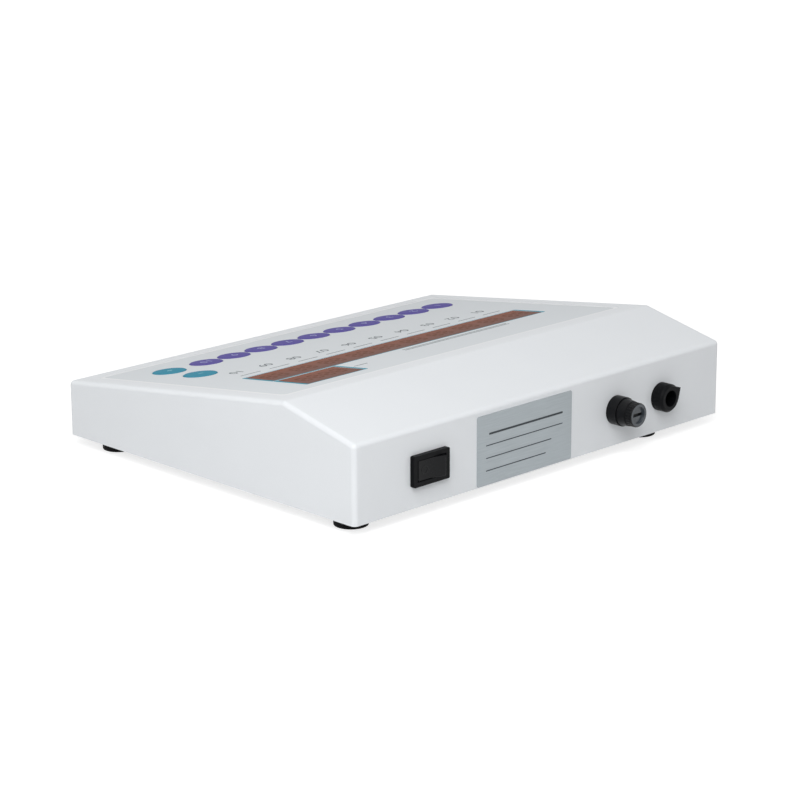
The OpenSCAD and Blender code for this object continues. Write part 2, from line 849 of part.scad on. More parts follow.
// Bayonet cap: tapered shoulder, then a round grip with a dished and slotted end
module fuse_cap() {
    base = collar_len + cap_gap;
    top = shoulder_len + grip_len;
    color("#35363b") on_rear(fuse_x) translate([0, 0, base]) difference() {
        rotate_extrude() polygon([
            [0, 0], [shoulder_d / 2, 0], [grip_d / 2 + key_edge, shoulder_len], [grip_d / 2, shoulder_len],
            [grip_d / 2, top - key_edge], [grip_d / 2 - key_edge, top], [dish_d / 2, top],
            [dish_d / 2, top - dish_t], [0, top - dish_t]
        ]);
        translate([0, 0, -cut]) cylinder(d = neck_d + 2 * carrier_fit, h = neck_len + neck_play + cut);
        translate([0, 0, top - dish_t - coin_slot_t])
            block([dish_d, coin_slot_w, dish_t + coin_slot_t + cut]);
    }
}

// Sleeve that holds the fuse, with a neck on which the cap turns
module fuse_carrier() {
    color("#35363b") on_rear(fuse_x) difference() {
        union() {
            translate([0, 0, -carrier_in]) cylinder(d = carrier_d, h = carrier_in + collar_len);
            cylinder(d = neck_d, h = collar_len + cap_gap + neck_len);
        }
        translate([0, 0, -carrier_in - cut])
            cylinder(d = carrier_d - 2 * carrier_wall, h = carrier_in + cut + fuse_front);
    }
}

module fuse_link() {
    color("lightcyan") on_rear(fuse_x) translate([0, 0, fuse_front - fuse_len + fuse_cap_len])
        cylinder(d = fuse_d, h = fuse_len - 2 * fuse_cap_len);
}

module fuse_end_caps() {
    color("silver") on_rear(fuse_x) for (p = [fuse_front - fuse_len, fuse_front - fuse_cap_len])
        translate([0, 0, p]) cylinder(d = fuse_d + 2 * fuse_cap_t, h = fuse_cap_len);
}

// Rear contact with its rivet and tab, and the side tab on the flat of the barrel
module fuse_terminals() {
    floor_p = barrel_floor - barrel_len;
    side_y = barrel_d / 2 - barrel_flat;
    color("goldenrod") on_rear(fuse_x) {
        translate([0, 0, floor_p]) cylinder(d = contact_d, h = fuse_front - fuse_len - floor_p - loose_fit);
        translate([0, 0, -barrel_len - cut]) cylinder(d = rivet_d, h = barrel_floor + cut + bed);
        translate([0, 0, -barrel_len - fuse_tab[2]]) block(fuse_tab);
        translate([0, side_y + fuse_tab[1] / 2, -barrel_len - fuse_tab[2]])
            block([fuse_tab[0], fuse_tab[1], 2 * fuse_tab[2]]);
    }
}

// Bushing with a flared outer edge and a small pointed ear on its rim
module cord_gland() {
    color("#2b2c2f") on_rear(gland_x) difference() {
        union() {
            rotate_extrude() polygon([
                [0, -gland_in], [gland_barrel_d / 2, -gland_in], [gland_barrel_d / 2, 0], [gland_d / 2, 0],
                [gland_d / 2, gland_len - gland_edge], [gland_d / 2 - gland_edge, gland_len], [0, gland_len]
            ]);
            translate([0, 0, gland_len - ear_t]) linear_extrude(ear_t) rotate([0, 0, 180 + ear_turn])
                translate([gland_d / 2 + ear_reach, 0]) rotate([0, 0, 135]) square(ear_side);
        }
        translate([0, 0, -gland_in]) drill(gland_bore, gland_in + gland_len);
    }
}

module gland_nut() {
    color("#2b2c2f") on_rear(gland_x) translate([0, 0, -wall - panel_nut_t])
        hex_nut(panel_nut_af, panel_nut_t, gland_barrel_d + 2 * turn_fit);
}

module rating_plate() {
    color("#a5acae") translate([plate_x, rear_y, case_z + plate_z]) rotate([-90, 0, 0])
        linear_extrude(plate_t) rounded_rect(plate_w, plate_h, plate_r);
}

function unit(v) = v / norm(v);

// Round lead swept along a list of points, with square ends that face the rear wall
module lead(points) {
    last = len(points) - 1;
    runs = [
        for (i = [0:last]) i == 0 || i == last ? [0, -1, 0] : unit(points[i + 1] - points[i - 1])
    ];
    sides = [for (r = runs) unit(cross(r, [0, 0, 1]))];
    rings = [
        for (i = [0:last], k = [0:lead_sides - 1]) let (a = 360 * k / lead_sides)
        points[i] + lead_d / 2 * (cos(a) * sides[i] + sin(a) * cross(runs[i], sides[i]))
    ];
    around = [
        for (i = [0:last - 1], k = [0:lead_sides - 1]) let (
            a = i * lead_sides + k,
            b = i * lead_sides + (k + 1) % lead_sides
        ) each [[a, b, a + lead_sides], [b, b + lead_sides, a + lead_sides]]
    ];
    tail = last * lead_sides;
    ends = [for (k = [1:lead_sides - 2]) each [[0, k + 1, k], [tail, tail + k, tail + k + 1]]];
    polyhedron(rings, concat(around, ends), convexity = 6);
}

// Points of a lead from a tab behind the rear wall to a seat of the mains terminal, straight at both ends
function lead_points(start, end) = let (
    a = start - [0, lead_straight, 0],
    d = end + [0, lead_seat + lead_straight, 0]
) concat(
    [start],
    [for (i = [0:bend_steps]) curve_at(a, a - [0, lead_pull, 0], d + [0, lead_pull, 0], d, i / bend_steps)],
    [end]
);

module switch_leads() {
    color("brown") for (i = [0, 1]) lead(lead_points(
        [switch_x + tab_xs[i], rear_y - switch_depth - tab_size[2], case_z + fittings_z],
        [terminal_xs[i + 2], seat_y, terminal_bore_z]
    ));
}

module fuse_leads() {
    tab_z = case_z + fittings_z;
    drop = barrel_d / 2 - barrel_flat + fuse_tab[1] / 2;
    tab_y = rear_y - barrel_len - fuse_tab[2];
    color("steelblue") {
        lead(lead_points([fuse_x, tab_y, tab_z], [terminal_xs[1], seat_y, terminal_bore_z]));
        lead(lead_points([fuse_x, tab_y, tab_z - drop], [terminal_xs[0], seat_y, terminal_bore_z]));
    }
}

top_case();
base_plate();
foot(foot_places[0]);  // foot_rear_right
foot(foot_places[1]);  // foot_rear_left
foot(foot_places[2]);  // foot_front_right
foot(foot_places[3]);  // foot_front_left
foot_screws();
foot_nuts();
case_screws();
key_overlay();
key_guide();
tally_window();
total_window();
tally_key(0);  // tally_key_01
tally_key(1);  // tally_key_02
tally_key(2);  // tally_key_03
tally_key(3);  // tally_key_04
tally_key(4);  // tally_key_05
tally_key(5);  // tally_key_06
tally_key(6);  // tally_key_07
tally_key(7);  // tally_key_08
tally_key(8);  // tally_key_09
tally_key(9);  // tally_key_10
mode_key(0);  // mode_key_front
mode_key(1);  // mode_key_rear
display_board();
board_screws();
key_switches();
tally_digits();
total_digits();
controller_chip();
beeper();
display_header();
ribbon_cable();
power_board();
power_standoffs();
power_screws();
transformer_core();
transformer_winding();
smoothing_capacitor();
heatsink();
regulator();
mains_terminal();
power_header();
switch_body();
switch_rocker();
switch_terminals();
fuse_body();
fuse_nut();
fuse_cap();
fuse_carrier();
fuse_link();
fuse_end_caps();
fuse_terminals();
cord_gland();
gland_nut();
rating_plate();
switch_leads();
fuse_leads();
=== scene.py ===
"""Dresses a packed desk-top tally counter: softened shells, printed panel, finishes, stage and camera.

All sizes are metres in the CAD frame: +X is the user's right, +Y the rear and +Z up.
"""

import json
import math
from typing import NamedTuple

import bmesh
import bpy
from bpy.props import FloatProperty, FloatVectorProperty, IntProperty, PointerProperty
from mathutils import Matrix, Vector


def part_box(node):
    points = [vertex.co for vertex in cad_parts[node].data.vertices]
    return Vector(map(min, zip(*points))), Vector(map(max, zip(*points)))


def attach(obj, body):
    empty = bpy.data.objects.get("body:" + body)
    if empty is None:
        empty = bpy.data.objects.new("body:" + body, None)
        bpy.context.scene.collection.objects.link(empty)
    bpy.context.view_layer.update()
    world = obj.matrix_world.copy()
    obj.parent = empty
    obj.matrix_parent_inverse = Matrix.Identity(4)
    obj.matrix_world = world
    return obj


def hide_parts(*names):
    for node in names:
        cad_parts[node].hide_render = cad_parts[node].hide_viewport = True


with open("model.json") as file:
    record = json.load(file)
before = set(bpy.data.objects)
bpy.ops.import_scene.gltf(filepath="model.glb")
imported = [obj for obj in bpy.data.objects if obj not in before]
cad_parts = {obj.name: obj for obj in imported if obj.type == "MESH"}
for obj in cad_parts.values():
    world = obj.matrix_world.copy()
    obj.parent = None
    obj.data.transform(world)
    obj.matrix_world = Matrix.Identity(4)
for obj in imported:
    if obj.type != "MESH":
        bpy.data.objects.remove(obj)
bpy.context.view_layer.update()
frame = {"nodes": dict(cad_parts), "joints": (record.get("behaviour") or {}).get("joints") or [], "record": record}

bl_info = {
    "name": "Tally Counter",
    "version": (1, 0, 0),
    "blender": (4, 5, 0),
    "location": "View3D > Sidebar > Tally Counter",
    "description": "Shells, prints and finishes of a desk-top tally counter on its CAD frame",
    "category": "Object",
}

MM = 0.001
NODES = frame["nodes"]
BODY_OF = {node: body for body, nodes in frame["record"]["behaviour"]["bodies"].items() for node in nodes}
SLOT_OF = {part["node"]: part["material_slot"] for part in frame["record"]["subparts"]}
COUNT_KEYS = sorted(node for node in NODES if node.startswith("tally_key_"))
FUNCTION_KEYS = ["mode_key_front", "mode_key_rear"]
FEET = sorted(node for node in NODES if node.startswith("foot_") and SLOT_OF[node] == "foot_rubber")

# Limits for joining the triangles of a CAD mesh, for finding its sharp edges and for smooth shading
WELD = 0.002 * MM
FLAT = math.radians(0.5)
SHARP = math.radians(35)
CREASE = math.radians(30)

# Steps round a circle, round a corner, across a rounded edge and along the dome of a key
CIRCLE_STEPS = 64
CORNER_STEPS = 6
EDGE_STEPS = 3
DOME_STEPS = 8

# Sides of a screw's head, of its shank and of a rib on the fuse cap
HEAD_SIDES = 48
SHANK_SIDES = 24
RIB_SIDES = 10

# Corner radius of a printed or moulded line as a share of its thickness
LINE_CORNER = 1 / 3

# Width of one of the two-digit modules behind the long window
MODULE_W = 15.0 * MM

# Play between a key's flange and the film over it, and the thickness of the flange
FLANGE_PLAY = 0.05 * MM
FLANGE_T = 1.0 * MM

# Zinc plating of the screws and of the nuts in the feet
ZINC = "#C3C5C8"

# The keys press straight into the panel, so the axis of their joint gives the panel's slope
PRESS = next(joint["axis"] for joint in frame["joints"] if joint["child"] == COUNT_KEYS[0])
PANEL = Matrix.Rotation(math.asin(PRESS[1]), 4, "X")
# Turns what is drawn flat so that it faces the rear
REAR = Matrix.Rotation(math.radians(-90), 4, "X")


def panel_box(node):
    """Lowest and highest corner of a CAD node, measured across, up and out of the sloping panel."""
    turned = [PANEL.inverted() @ vertex.co for vertex in NODES[node].data.vertices]
    return Vector(map(min, zip(*turned))), Vector(map(max, zip(*turned)))


def panel_middle(node):
    """Middle of a CAD node, measured as panel_box does."""
    low, high = panel_box(node)
    return (low + high) / 2


def linear(code):
    """Linear red, green and blue of an sRGB hex code."""
    parts = [int(code[i:i + 2], 16) / 255 for i in (1, 3, 5)]
    return tuple(p / 12.92 if p <= 0.04045 else ((p + 0.055) / 1.055) ** 2.4 for p in parts)


def shade(colour, share):
    """A linear colour made lighter or darker by a share, with the alpha that sockets need."""
    return (*(min(1.0, part * (1 + share)) for part in colour), 1.0)


def colour_prop(name, description, code):
    """Colour property whose default is an sRGB hex code."""
    return FloatVectorProperty(name=name, description=description, subtype="COLOR", size=3, min=0.0, max=1.0,
                               default=linear(code))


def length_prop(name, description, millimetres):
    """Length property whose default is in millimetres."""
    return FloatProperty(name=name, description=description, unit="LENGTH", min=0.0, precision=5,
                         default=millimetres * MM)


def angle_prop(name, description, degrees):
    """Angle property whose default is in degrees."""
    return FloatProperty(name=name, description=description, subtype="ANGLE", default=math.radians(degrees))


class CaseSettings(bpy.types.PropertyGroup):
    """Sizes and colours of the case, its base and its feet."""

    shell: colour_prop("Case", "White of the moulded case", "#E5E8EB")
    base: colour_prop("Base", "Grey of the enamelled base plate", "#CDD0D3")
    rubber: colour_prop("Feet", "Black of the rubber feet", "#0C0C0D")
    base_edge: length_prop("Base edge", "Rounding of the base plate's edges", 0.3)
    foot_edge: length_prop("Foot edge", "Rounding of the rubber feet", 0.45)
    screw_crown: length_prop("Screw crown", "Diameter of the flat on a screw head", 3.8)


class PanelSettings(bpy.types.PropertyGroup):
    """Sizes and colours of the key panel: film, printing, windows and keys."""

    film: colour_prop("Film", "Pale blue-grey of the overlay film", "#DDE1E4")
    # The white line round the film's rim is a painted highlight, standing in for the film's edge catching the
    # light
    rim_highlight: colour_prop("Keyline", "White line round the rim of the film", "#F2F3F4")
    border: colour_prop("Window border", "Teal line round the windows", "#3F97AC")
    print_ink: colour_prop("Numbers", "Grey of the printed numbers and rules", "#5F666A")
    filter_low: colour_prop("Filter, front", "Smoked filter along its front edge", "#864E39")
    filter_high: colour_prop("Filter, rear", "Smoked filter along its rear edge", "#70524A")
    ghost: colour_prop("Unlit digits", "Digit segments behind the filter", "#6C483B")
    violet: colour_prop("Count keys", "Violet of the count keys", "#5A5299")
    teal: colour_prop("Function keys", "Teal of the function keys", "#378AA2")
    mark: colour_prop("Key marks", "Pale marks printed on the count keys", "#A3A5CC")
    teal_mark: colour_prop("Function marks", "Pale marks printed on the function keys", "#8CC3D0")
    film_edge: length_prop("Film edge", "Rounding of the film's edges", 0.12)
    key_gap: length_prop("Key gap", "Gap round a key in the film", 0.2)
    lens_lip: length_prop("Lens lip", "Lip of a window lens behind the film", 0.5)
    border_w: length_prop("Border width", "Width of the line at the ends of a window", 1.8)
    border_side_w: length_prop("Border side", "Width of the line along a window", 0.65)
    # Width of the painted highlight round the film's rim
    rim_highlight_w: length_prop("Keyline width", "Width of the line round the film", 1.6)
    ink_t: length_prop("Ink", "Thickness of a printed layer", 0.03)
    number_h: length_prop("Number size", "Size of the printed numbers", 8.0)
    cap_d: length_prop("Key diameter", "Diameter of a key above the film", 17.2)
    stem_d: length_prop("Key stem", "Diameter of the stem under a key", 5.0)
    key_dome: length_prop("Key dome", "Rise of a key from its rim to its middle", 0.22)
    key_round: length_prop("Key rim", "Rounding of a key's rim", 0.35)
    key_mark_h: length_prop("Key mark size", "Size of the mark on a key", 7.0)


class RearSettings(bpy.types.PropertyGroup):
    """Sizes and colours of the fittings on the rear face."""

    nylon: colour_prop("Nylon", "Black of the switch and the gland", "#090A0C")
    rocker: colour_prop("Rocker", "Black of the rocker", "#101113")
    thermoset: colour_prop("Thermoset", "Black of the fuse holder", "#0A0B0D")
    # The dish's smoky grey, lighter than the black holder, is partly painted sheen standing in for reflections on
    # its glossy end
    dish_tone_and_sheen: colour_prop("Grip end", "Smoky grey of the polished dish in the fuse cap", "#3C4248")
    foil: colour_prop("Rating plate", "Silver of the rating plate", "#A4ABAF")
    rule: colour_prop("Rules", "Dark lines on the rating plate", "#4A4E51")
    bezel_edge: length_prop("Bezel edge", "Rounding of the switch's bezel", 0.35)
    rocker_edge: length_prop("Rocker edge", "Rounding of the rocker", 0.3)
    fuse_edge: length_prop("Fuse holder edge", "Rounding of the fuse holder", 0.25)
    gland_edge: length_prop("Gland edge", "Rounding of the cord gland", 0.35)
    plate_edge: length_prop("Plate edge", "Rounding of the rating plate", 0.12)
    rib_count: IntProperty(name="Grip ribs", description="Ribs round the fuse cap's grip", default=28, min=6)
    rib_w: length_prop("Rib width", "Width of a rib on the grip", 0.5)


class StageSettings(bpy.types.PropertyGroup):
    """Light, floor and camera."""

    azimuth: angle_prop("Azimuth", "Camera's bearing, with 0 in front and 90 to the right", 135.41)
    elevation: angle_prop("Elevation", "Camera's height above the horizon", 15.99)
    roll: angle_prop("Roll", "Turn of the camera about its own axis", -0.22)
    distance: length_prop("Distance", "From the camera to the point that it looks at", 1294.2)
    target: FloatVectorProperty(name="Target", description="Point that the camera looks at", subtype="XYZ",
                                unit="LENGTH", default=(-0.0004, -0.0064, 0.0179))
    lens: FloatProperty(name="Lens", description="Focal length for a 36 mm wide sensor, in millimetres",
                        default=114.03, min=1.0)
    sky: FloatProperty(name="Sky", description="Strength of the even light from all round",
                       default=0.39, min=0.0)
    key: FloatProperty(name="Key light", description="Power of the large lamp, in watts",
                       default=12.0, min=0.0)
    fill: FloatProperty(name="Fill light", description="Power of each of the two weak lamps, in watts",
                        default=2.2, min=0.0)
    floor: colour_prop("Floor", "Colour of the floor and the background", "#FFFFFF")


SETTINGS = {
    "tally_case": CaseSettings,
    "tally_panel": PanelSettings,
    "tally_rear": RearSettings,
    "tally_stage": StageSettings,
}

# Patterns that the finishes are drawn with
NOISE = "ShaderNodeTexNoise"
CELLS = "ShaderNodeTexVoronoi"
BANDS = "ShaderNodeTexWave"

# Length over which diagonal bands of scale 1 repeat; a stretch of 0 along two axes turns them to the third
WAVE = 0.2 * math.pi

# Breadth and depth of the faint clouds that handling leaves on every finish
CLOUD_W = 35 * MM
CLOUD_SHARE = 0.03

# Shader's input that dims the gloss of a finish
SPECULAR = "Specular IOR Level"
# Places of the sockets of a Mix node that mixes colours: its share, its two colours and its result
MIX_SHARE, MIX_FIRST, MIX_SECOND, MIX_RESULT = 0, 6, 7, 2


class Finish(NamedTuple):
    """One pattern, and what a material's tone, roughness and relief do between its two ends."""

    tones: tuple  # shares by which the colour changes at the two ends
    gloss: tuple  # roughness at the two ends
    grain: float  # size of the pattern in millimetres
    relief: float  # depth of the pattern in millimetres
    sockets: dict  # other inputs of the shader
    pattern: str = NOISE
    stretch: tuple = (1, 1, 1)  # scale of the pattern along each axis


FINISHES = {
    # White ABS from a spark-eroded mould: satin, with a 0.1 mm grain drawn at 0.7 mm so that it shows
    "moulded_abs": Finish((-0.012, 0.012), (0.42, 0.55), 0.7, 0.006, {"IOR": 1.54, SPECULAR: 0.15}),
    # Stoved enamel on sheet steel: soft gloss with an orange-peel ripple of about 1.5 mm
    "enamelled_steel": Finish((-0.015, 0.015), (0.3, 0.42), 1.5, 0.01, {"IOR": 1.5}),
    # Black rubber: dull and slightly grainy, with a paler bloom in patches of half a millimetre
    "moulded_rubber": Finish((-0.2, 0.6), (0.65, 0.85), 0.5, 0.03, {"IOR": 1.52, SPECULAR: 0.12}),
    # Zinc-plated steel: bright, with crystals of about 0.8 mm that change its gloss
    "zinc_plated_steel": Finish((-0.06, 0.06), (0.22, 0.45), 0.8, 0.004, {"Metallic": 1.0}, CELLS),
    # Polycarbonate film with a velvet face: matt, with a stipple of 0.1 mm drawn at 0.5 mm so that it shows
    "printed_polycarbonate": Finish((-0.012, 0.012), (0.6, 0.75), 0.5, 0.004, {"IOR": 1.58, SPECULAR: 0.1}),
    # Screen-printed ink: satin, a little uneven in patches of 0.4 mm where the mesh left its mark
    "screen_ink": Finish((-0.06, 0.06), (0.6, 0.75), 0.4, 0.002, {"IOR": 1.5, SPECULAR: 0.05}),
    # Embossed, back-printed key film: satin, with a soft mottle of 2 mm in the ink under the face
    "key_film": Finish((-0.12, 0.16), (0.5, 0.65), 2, 0.006, {"IOR": 1.58, SPECULAR: 0.04}),
    # Red-brown acrylic filter, hazed against glare, with casting streaks of 3 mm
    "smoked_acrylic": Finish((-0.05, 0.05), (0.4, 0.5), 3, 0.003, {"IOR": 1.49, SPECULAR: 0.02}, NOISE,
                             (0.2, 1, 1)),
    # Glass-filled nylon: near black and satin, with fibres of about 0.6 mm just showing
    "black_nylon": Finish((-0.2, 0.35), (0.36, 0.5), 0.6, 0.008, {"IOR": 1.53, SPECULAR: 0.08}),
    # Nylon from a polished mould: near black and glossy, with faint flow ripples of 2 mm
    "polished_nylon": Finish((-0.2, 0.2), (0.16, 0.26), 2, 0.004, {"IOR": 1.53, SPECULAR: 0.15}),
    # Pressed phenolic: hard black with a dull gloss and a flour grain of 0.4 mm
    "black_thermoset": Finish((-0.25, 0.4), (0.24, 0.4), 0.4, 0.006, {"IOR": 1.6, SPECULAR: 0.12}),
    # Polished phenolic of the fuse cap's dish: dark grey and glassy, with turning marks of 0.5 mm; its grey,
    # lighter than the black holder, is partly painted sheen of the glossy end
    "polished_phenolic": Finish((-0.35, 0.5), (0.08, 0.2), 0.5, 0.01, {"IOR": 1.6, SPECULAR: 0.4}),
    # Anodised aluminium foil, brushed lengthwise: silver streaks of 0.1 mm drawn at 0.5 by 12 mm to show
    "brushed_foil": Finish((-0.16, 0.16), (0.4, 0.62), 0.5, 0.003, {"Metallic": 0.7, SPECULAR: 0.3}, NOISE,
                           (0.042, 1, 1)),
    # Glass-epoxy board under green solder mask: glossy, with the weave of the glass cloth at 0.6 mm
    "board_laminate": Finish((-0.2, 0.2), (0.25, 0.35), 0.6, 0.004, {"IOR": 1.55}, CELLS),
    # Transfer-moulded epoxy of chips and switches: black, matt and finely grained at 0.3 mm
    "moulded_epoxy": Finish((-0.3, 0.3), (0.55, 0.7), 0.3, 0.006, {"IOR": 1.55}),
    # Dark red epoxy face of a digit module: glossy over a cloudy fill of 1.5 mm
    "digit_epoxy": Finish((-0.2, 0.2), (0.12, 0.2), 1.5, 0.002, {"IOR": 1.55}),
    # Unfilled nylon of the headers: ivory, waxy and faintly mottled at 1 mm
    "ivory_nylon": Finish((-0.04, 0.04), (0.4, 0.5), 1, 0.004,
                          {"IOR": 1.53, "Subsurface Weight": 0.1, "Subsurface Radius": (MM, MM, MM)}),
    # Flat cable: grey vinyl with a rib over each conductor, 1.27 mm apart across its width
    "ribbon_vinyl": Finish((-0.12, 0.12), (0.4, 0.5), 1.27 / WAVE, 0.3, {"IOR": 1.53}, BANDS, (1, 0, 0)),
    # Plated brass tabs and standoffs: yellow metal with a draw grain of 0.3 mm
    "plated_brass": Finish((-0.08, 0.08), (0.2, 0.36), 0.3, 0.003, {"Metallic": 1.0}, NOISE, (1, 1, 0.1)),
    # Ferrite core: dark grey and matt, with pits of about 0.5 mm from pressing
    "sintered_ferrite": Finish((-0.2, 0.2), (0.6, 0.75), 0.5, 0.02, {"IOR": 1.6}),
    # Winding under yellow polyester tape: glossy bands, one for each turn of the 0.8 mm wire
    "wound_copper": Finish((-0.15, 0.15), (0.2, 0.35), 0.8 / WAVE, 0.1, {"IOR": 1.5}, BANDS, (0, 0, 1)),
    # Dark blue vinyl sleeve shrunk on an aluminium can: glossy, with faint wrinkles of 2 mm
    "shrunk_sleeve": Finish((-0.1, 0.1), (0.2, 0.3), 2, 0.01, {"IOR": 1.53}),
    # Black anodised extrusion: dull metal with die lines of 0.4 mm along its height
    "black_anodised": Finish((-0.15, 0.15), (0.4, 0.55), 0.4, 0.004, {"Metallic": 0.8}, NOISE, (1, 1, 0.03)),
    # Terminal block of green nylon: satin, faintly mottled at 0.8 mm
    "green_nylon": Finish((-0.08, 0.08), (0.35, 0.48), 0.8, 0.004, {"IOR": 1.53}),
    # Dark grey polystyrene of the key guide: matt, with a mould grain of 0.6 mm
    "guide_styrene": Finish((-0.06, 0.06), (0.5, 0.65), 0.6, 0.006, {"IOR": 1.59}),
    # Vinyl insulation of a lead: satin, with a slight drawing grain of 0.5 mm
    "wire_vinyl": Finish((-0.08, 0.08), (0.35, 0.48), 0.5, 0.004, {"IOR": 1.53}),
    # Clear glass tube of the fuse: smooth, with a faint draw ripple of 2 mm
    "fuse_glass": Finish((0.0, -0.08), (0.01, 0.04), 2, 0.001, {"IOR": 1.5, "Transmission Weight": 0.95}),
    # Nickel-plated end caps: bright, with a fine turning grain of 0.2 mm
    "nickel_plate": Finish((-0.05, 0.05), (0.1, 0.22), 0.2, 0.001, {"Metallic": 1.0}),
}


def add(tree, kind, inputs=None, **props):
    """Adds a node, sets its properties and sets or links its inputs.

    A node stands for its first output, and a list links several to one input.
    """
    made = tree.nodes.new(kind)
    for name, value in props.items():
        setattr(made, name, value)
    for key, value in (inputs or {}).items():
        for source in value if isinstance(value, list) else [value]:
            if isinstance(source, bpy.types.Node):
                source = source.outputs[0]
            if isinstance(source, bpy.types.NodeSocket):
                tree.links.new(source, made.inputs[key])
            else:
                made.inputs[key].default_value = source
    return made


def empty_tree(owner):
    """Node tree of a material or a world, cleared."""
    owner.use_nodes = True
    owner.node_tree.nodes.clear()
    return owner.node_tree


def finish(kind, colour, name=None):
    """Material of a finish in a linear colour, with its pattern on Object coordinates.

    A broad, faint cloud over the colour stands for handling and age.
    """
    look = FINISHES[kind]
    made = bpy.data.materials.new(name or kind)
    tree = empty_tree(made)
    place = add(tree, "ShaderNodeTexCoord").outputs["Object"]
    scaled = add(tree, "ShaderNodeMapping", {"Vector": place, "Scale": look.stretch})
    settings = {"bands_direction": "DIAGONAL"} if look.pattern == BANDS else {}
    drawn = add(tree, look.pattern, {"Vector": scaled, "Scale": 1 / (look.grain * MM)}, **settings)
    share = next(drawn.outputs[output] for output in ("Fac", "Distance") if output in drawn.outputs)
    first, second = (shade(colour, tone) for tone in look.tones)
    fine = add(tree, "ShaderNodeMix", {MIX_SHARE: share, MIX_FIRST: first, MIX_SECOND: second},
               data_type="RGBA").outputs[MIX_RESULT]
    cloud = add(tree, "ShaderNodeTexNoise", {"Vector": place, "Scale": 1 / CLOUD_W}).outputs["Fac"]
    white = (1, 1, 1)
    veil = add(tree, "ShaderNodeMix",
               {MIX_SHARE: cloud, MIX_FIRST: shade(white, -CLOUD_SHARE), MIX_SECOND: shade(white, 0.0)},
               data_type="RGBA").outputs[MIX_RESULT]
    tint = add(tree, "ShaderNodeMix", {MIX_SHARE: 1.0, MIX_FIRST: fine, MIX_SECOND: veil},
               data_type="RGBA", blend_type="MULTIPLY").outputs[MIX_RESULT]
    smooth, rough = look.gloss
    gloss = add(tree, "ShaderNodeMapRange", {"Value": share, "To Min": smooth, "To Max": rough})
    bump = add(tree, "ShaderNodeBump", {"Height": share, "Distance": look.relief * MM})
    shader = add(tree, "ShaderNodeBsdfPrincipled",
                 {"Base Color": tint, "Roughness": gloss, "Normal": bump, **look.sockets})
    add(tree, "ShaderNodeOutputMaterial", {"Surface": shader})
    return made


def smoked_acrylic(low, high, front, rear):
    """Filter's material, whose colour changes up the panel from its front edge to its rear edge."""
    made = finish("smoked_acrylic", low)
    tree = made.node_tree
    shader = next(node for node in tree.nodes if node.type == "BSDF_PRINCIPLED")
    tint = shader.inputs["Base Color"].links[0].from_socket
    place = add(tree, "ShaderNodeTexCoord").outputs["Object"]
    turned = add(tree, "ShaderNodeMapping", {"Vector": place, "Rotation": PANEL.inverted().to_euler()})
    up_panel = add(tree, "ShaderNodeSeparateXYZ", {"Vector": turned}).outputs["Y"]
    share = add(tree, "ShaderNodeMapRange", {"Value": up_panel, "From Min": front, "From Max": rear})
    blend = add(tree, "ShaderNodeMix", {MIX_SHARE: share, MIX_FIRST: tint, MIX_SECOND: shade(high, 0.0)},
                data_type="RGBA").outputs[MIX_RESULT]
    tree.links.new(blend, shader.inputs["Base Color"])
    return made


def linked(name, data):
    """New object of a mesh, a curve, a lamp or a camera, in the scene."""
    made = bpy.data.objects.new(name, data)
    bpy.context.collection.objects.link(made)
    return made


def plain_mesh(made):
    """Plain mesh of what an object's curve or modifiers make; the object is removed."""
    mesh = bpy.data.meshes.new_from_object(made.evaluated_get(bpy.context.evaluated_depsgraph_get()))
    bpy.data.objects.remove(made)
    return mesh


def mesh_from(bm, name):
    """Mesh of a bmesh, smooth except over its creases."""
    mesh = bpy.data.meshes.new(name)
    bm.to_mesh(mesh)
    bm.free()
    mesh.polygons.foreach_set("use_smooth", [True] * len(mesh.polygons))
    mesh.set_sharp_from_angle(angle=CREASE)
    return mesh


def joined(name, meshes):
    """One mesh from several."""
    bm = bmesh.new()
    for mesh in meshes:
        bm.from_mesh(mesh)
        bpy.data.meshes.remove(mesh)
    return mesh_from(bm, name)


def merged(node):
    """Bmesh of a CAD node whose loose triangles are joined."""
    bm = bmesh.new()
    bm.from_mesh(NODES[node].data)
    bmesh.ops.remove_doubles(bm, verts=bm.verts, dist=WELD)
    return bm


def soft_copy(node, width=0.0):
    """Mesh of a CAD node with its flat triangles merged and its sharp edges rounded by a width."""
    bm = merged(node)
    bmesh.ops.dissolve_limit(bm, angle_limit=FLAT, verts=bm.verts, edges=bm.edges)
    if width:
        sharp = [edge for edge in bm.edges if edge.calc_face_angle(0.0) > SHARP]
        bmesh.ops.bevel(bm, geom=sharp, offset=width, segments=EDGE_STEPS, profile=0.5, affect="EDGES",
                        clamp_overlap=True)
    return mesh_from(bm, node + "_soft")


def circle(x, y, radius, steps=CIRCLE_STEPS):
    """Outline of a circle."""
    turns = [2 * math.pi * i / steps for i in range(steps)]
    return [(x + radius * math.cos(a), y + radius * math.sin(a)) for a in turns]


def rounded(low, high, radius):
    """Outline of a rectangle between two corners, which are round, or square where the radius is 0."""
    if radius == 0:
        return [(low[0], low[1]), (high[0], low[1]), (high[0], high[1]), (low[0], high[1])]
    (left, front), (right, rear) = grown(low, high, -radius)
    outline = []
    for quarter, (x, y) in enumerate(((right, rear), (left, rear), (left, front), (right, front))):
        for i in range(CORNER_STEPS + 1):
            a = math.pi / 2 * (quarter + i / CORNER_STEPS)
            outline.append((x + radius * math.cos(a), y + radius * math.sin(a)))
    return outline


def grown(low, high, margin):
    """Corners of a rectangle made larger by a margin on each side."""
    return (low[0] - margin, low[1] - margin), (high[0] + margin, high[1] + margin)


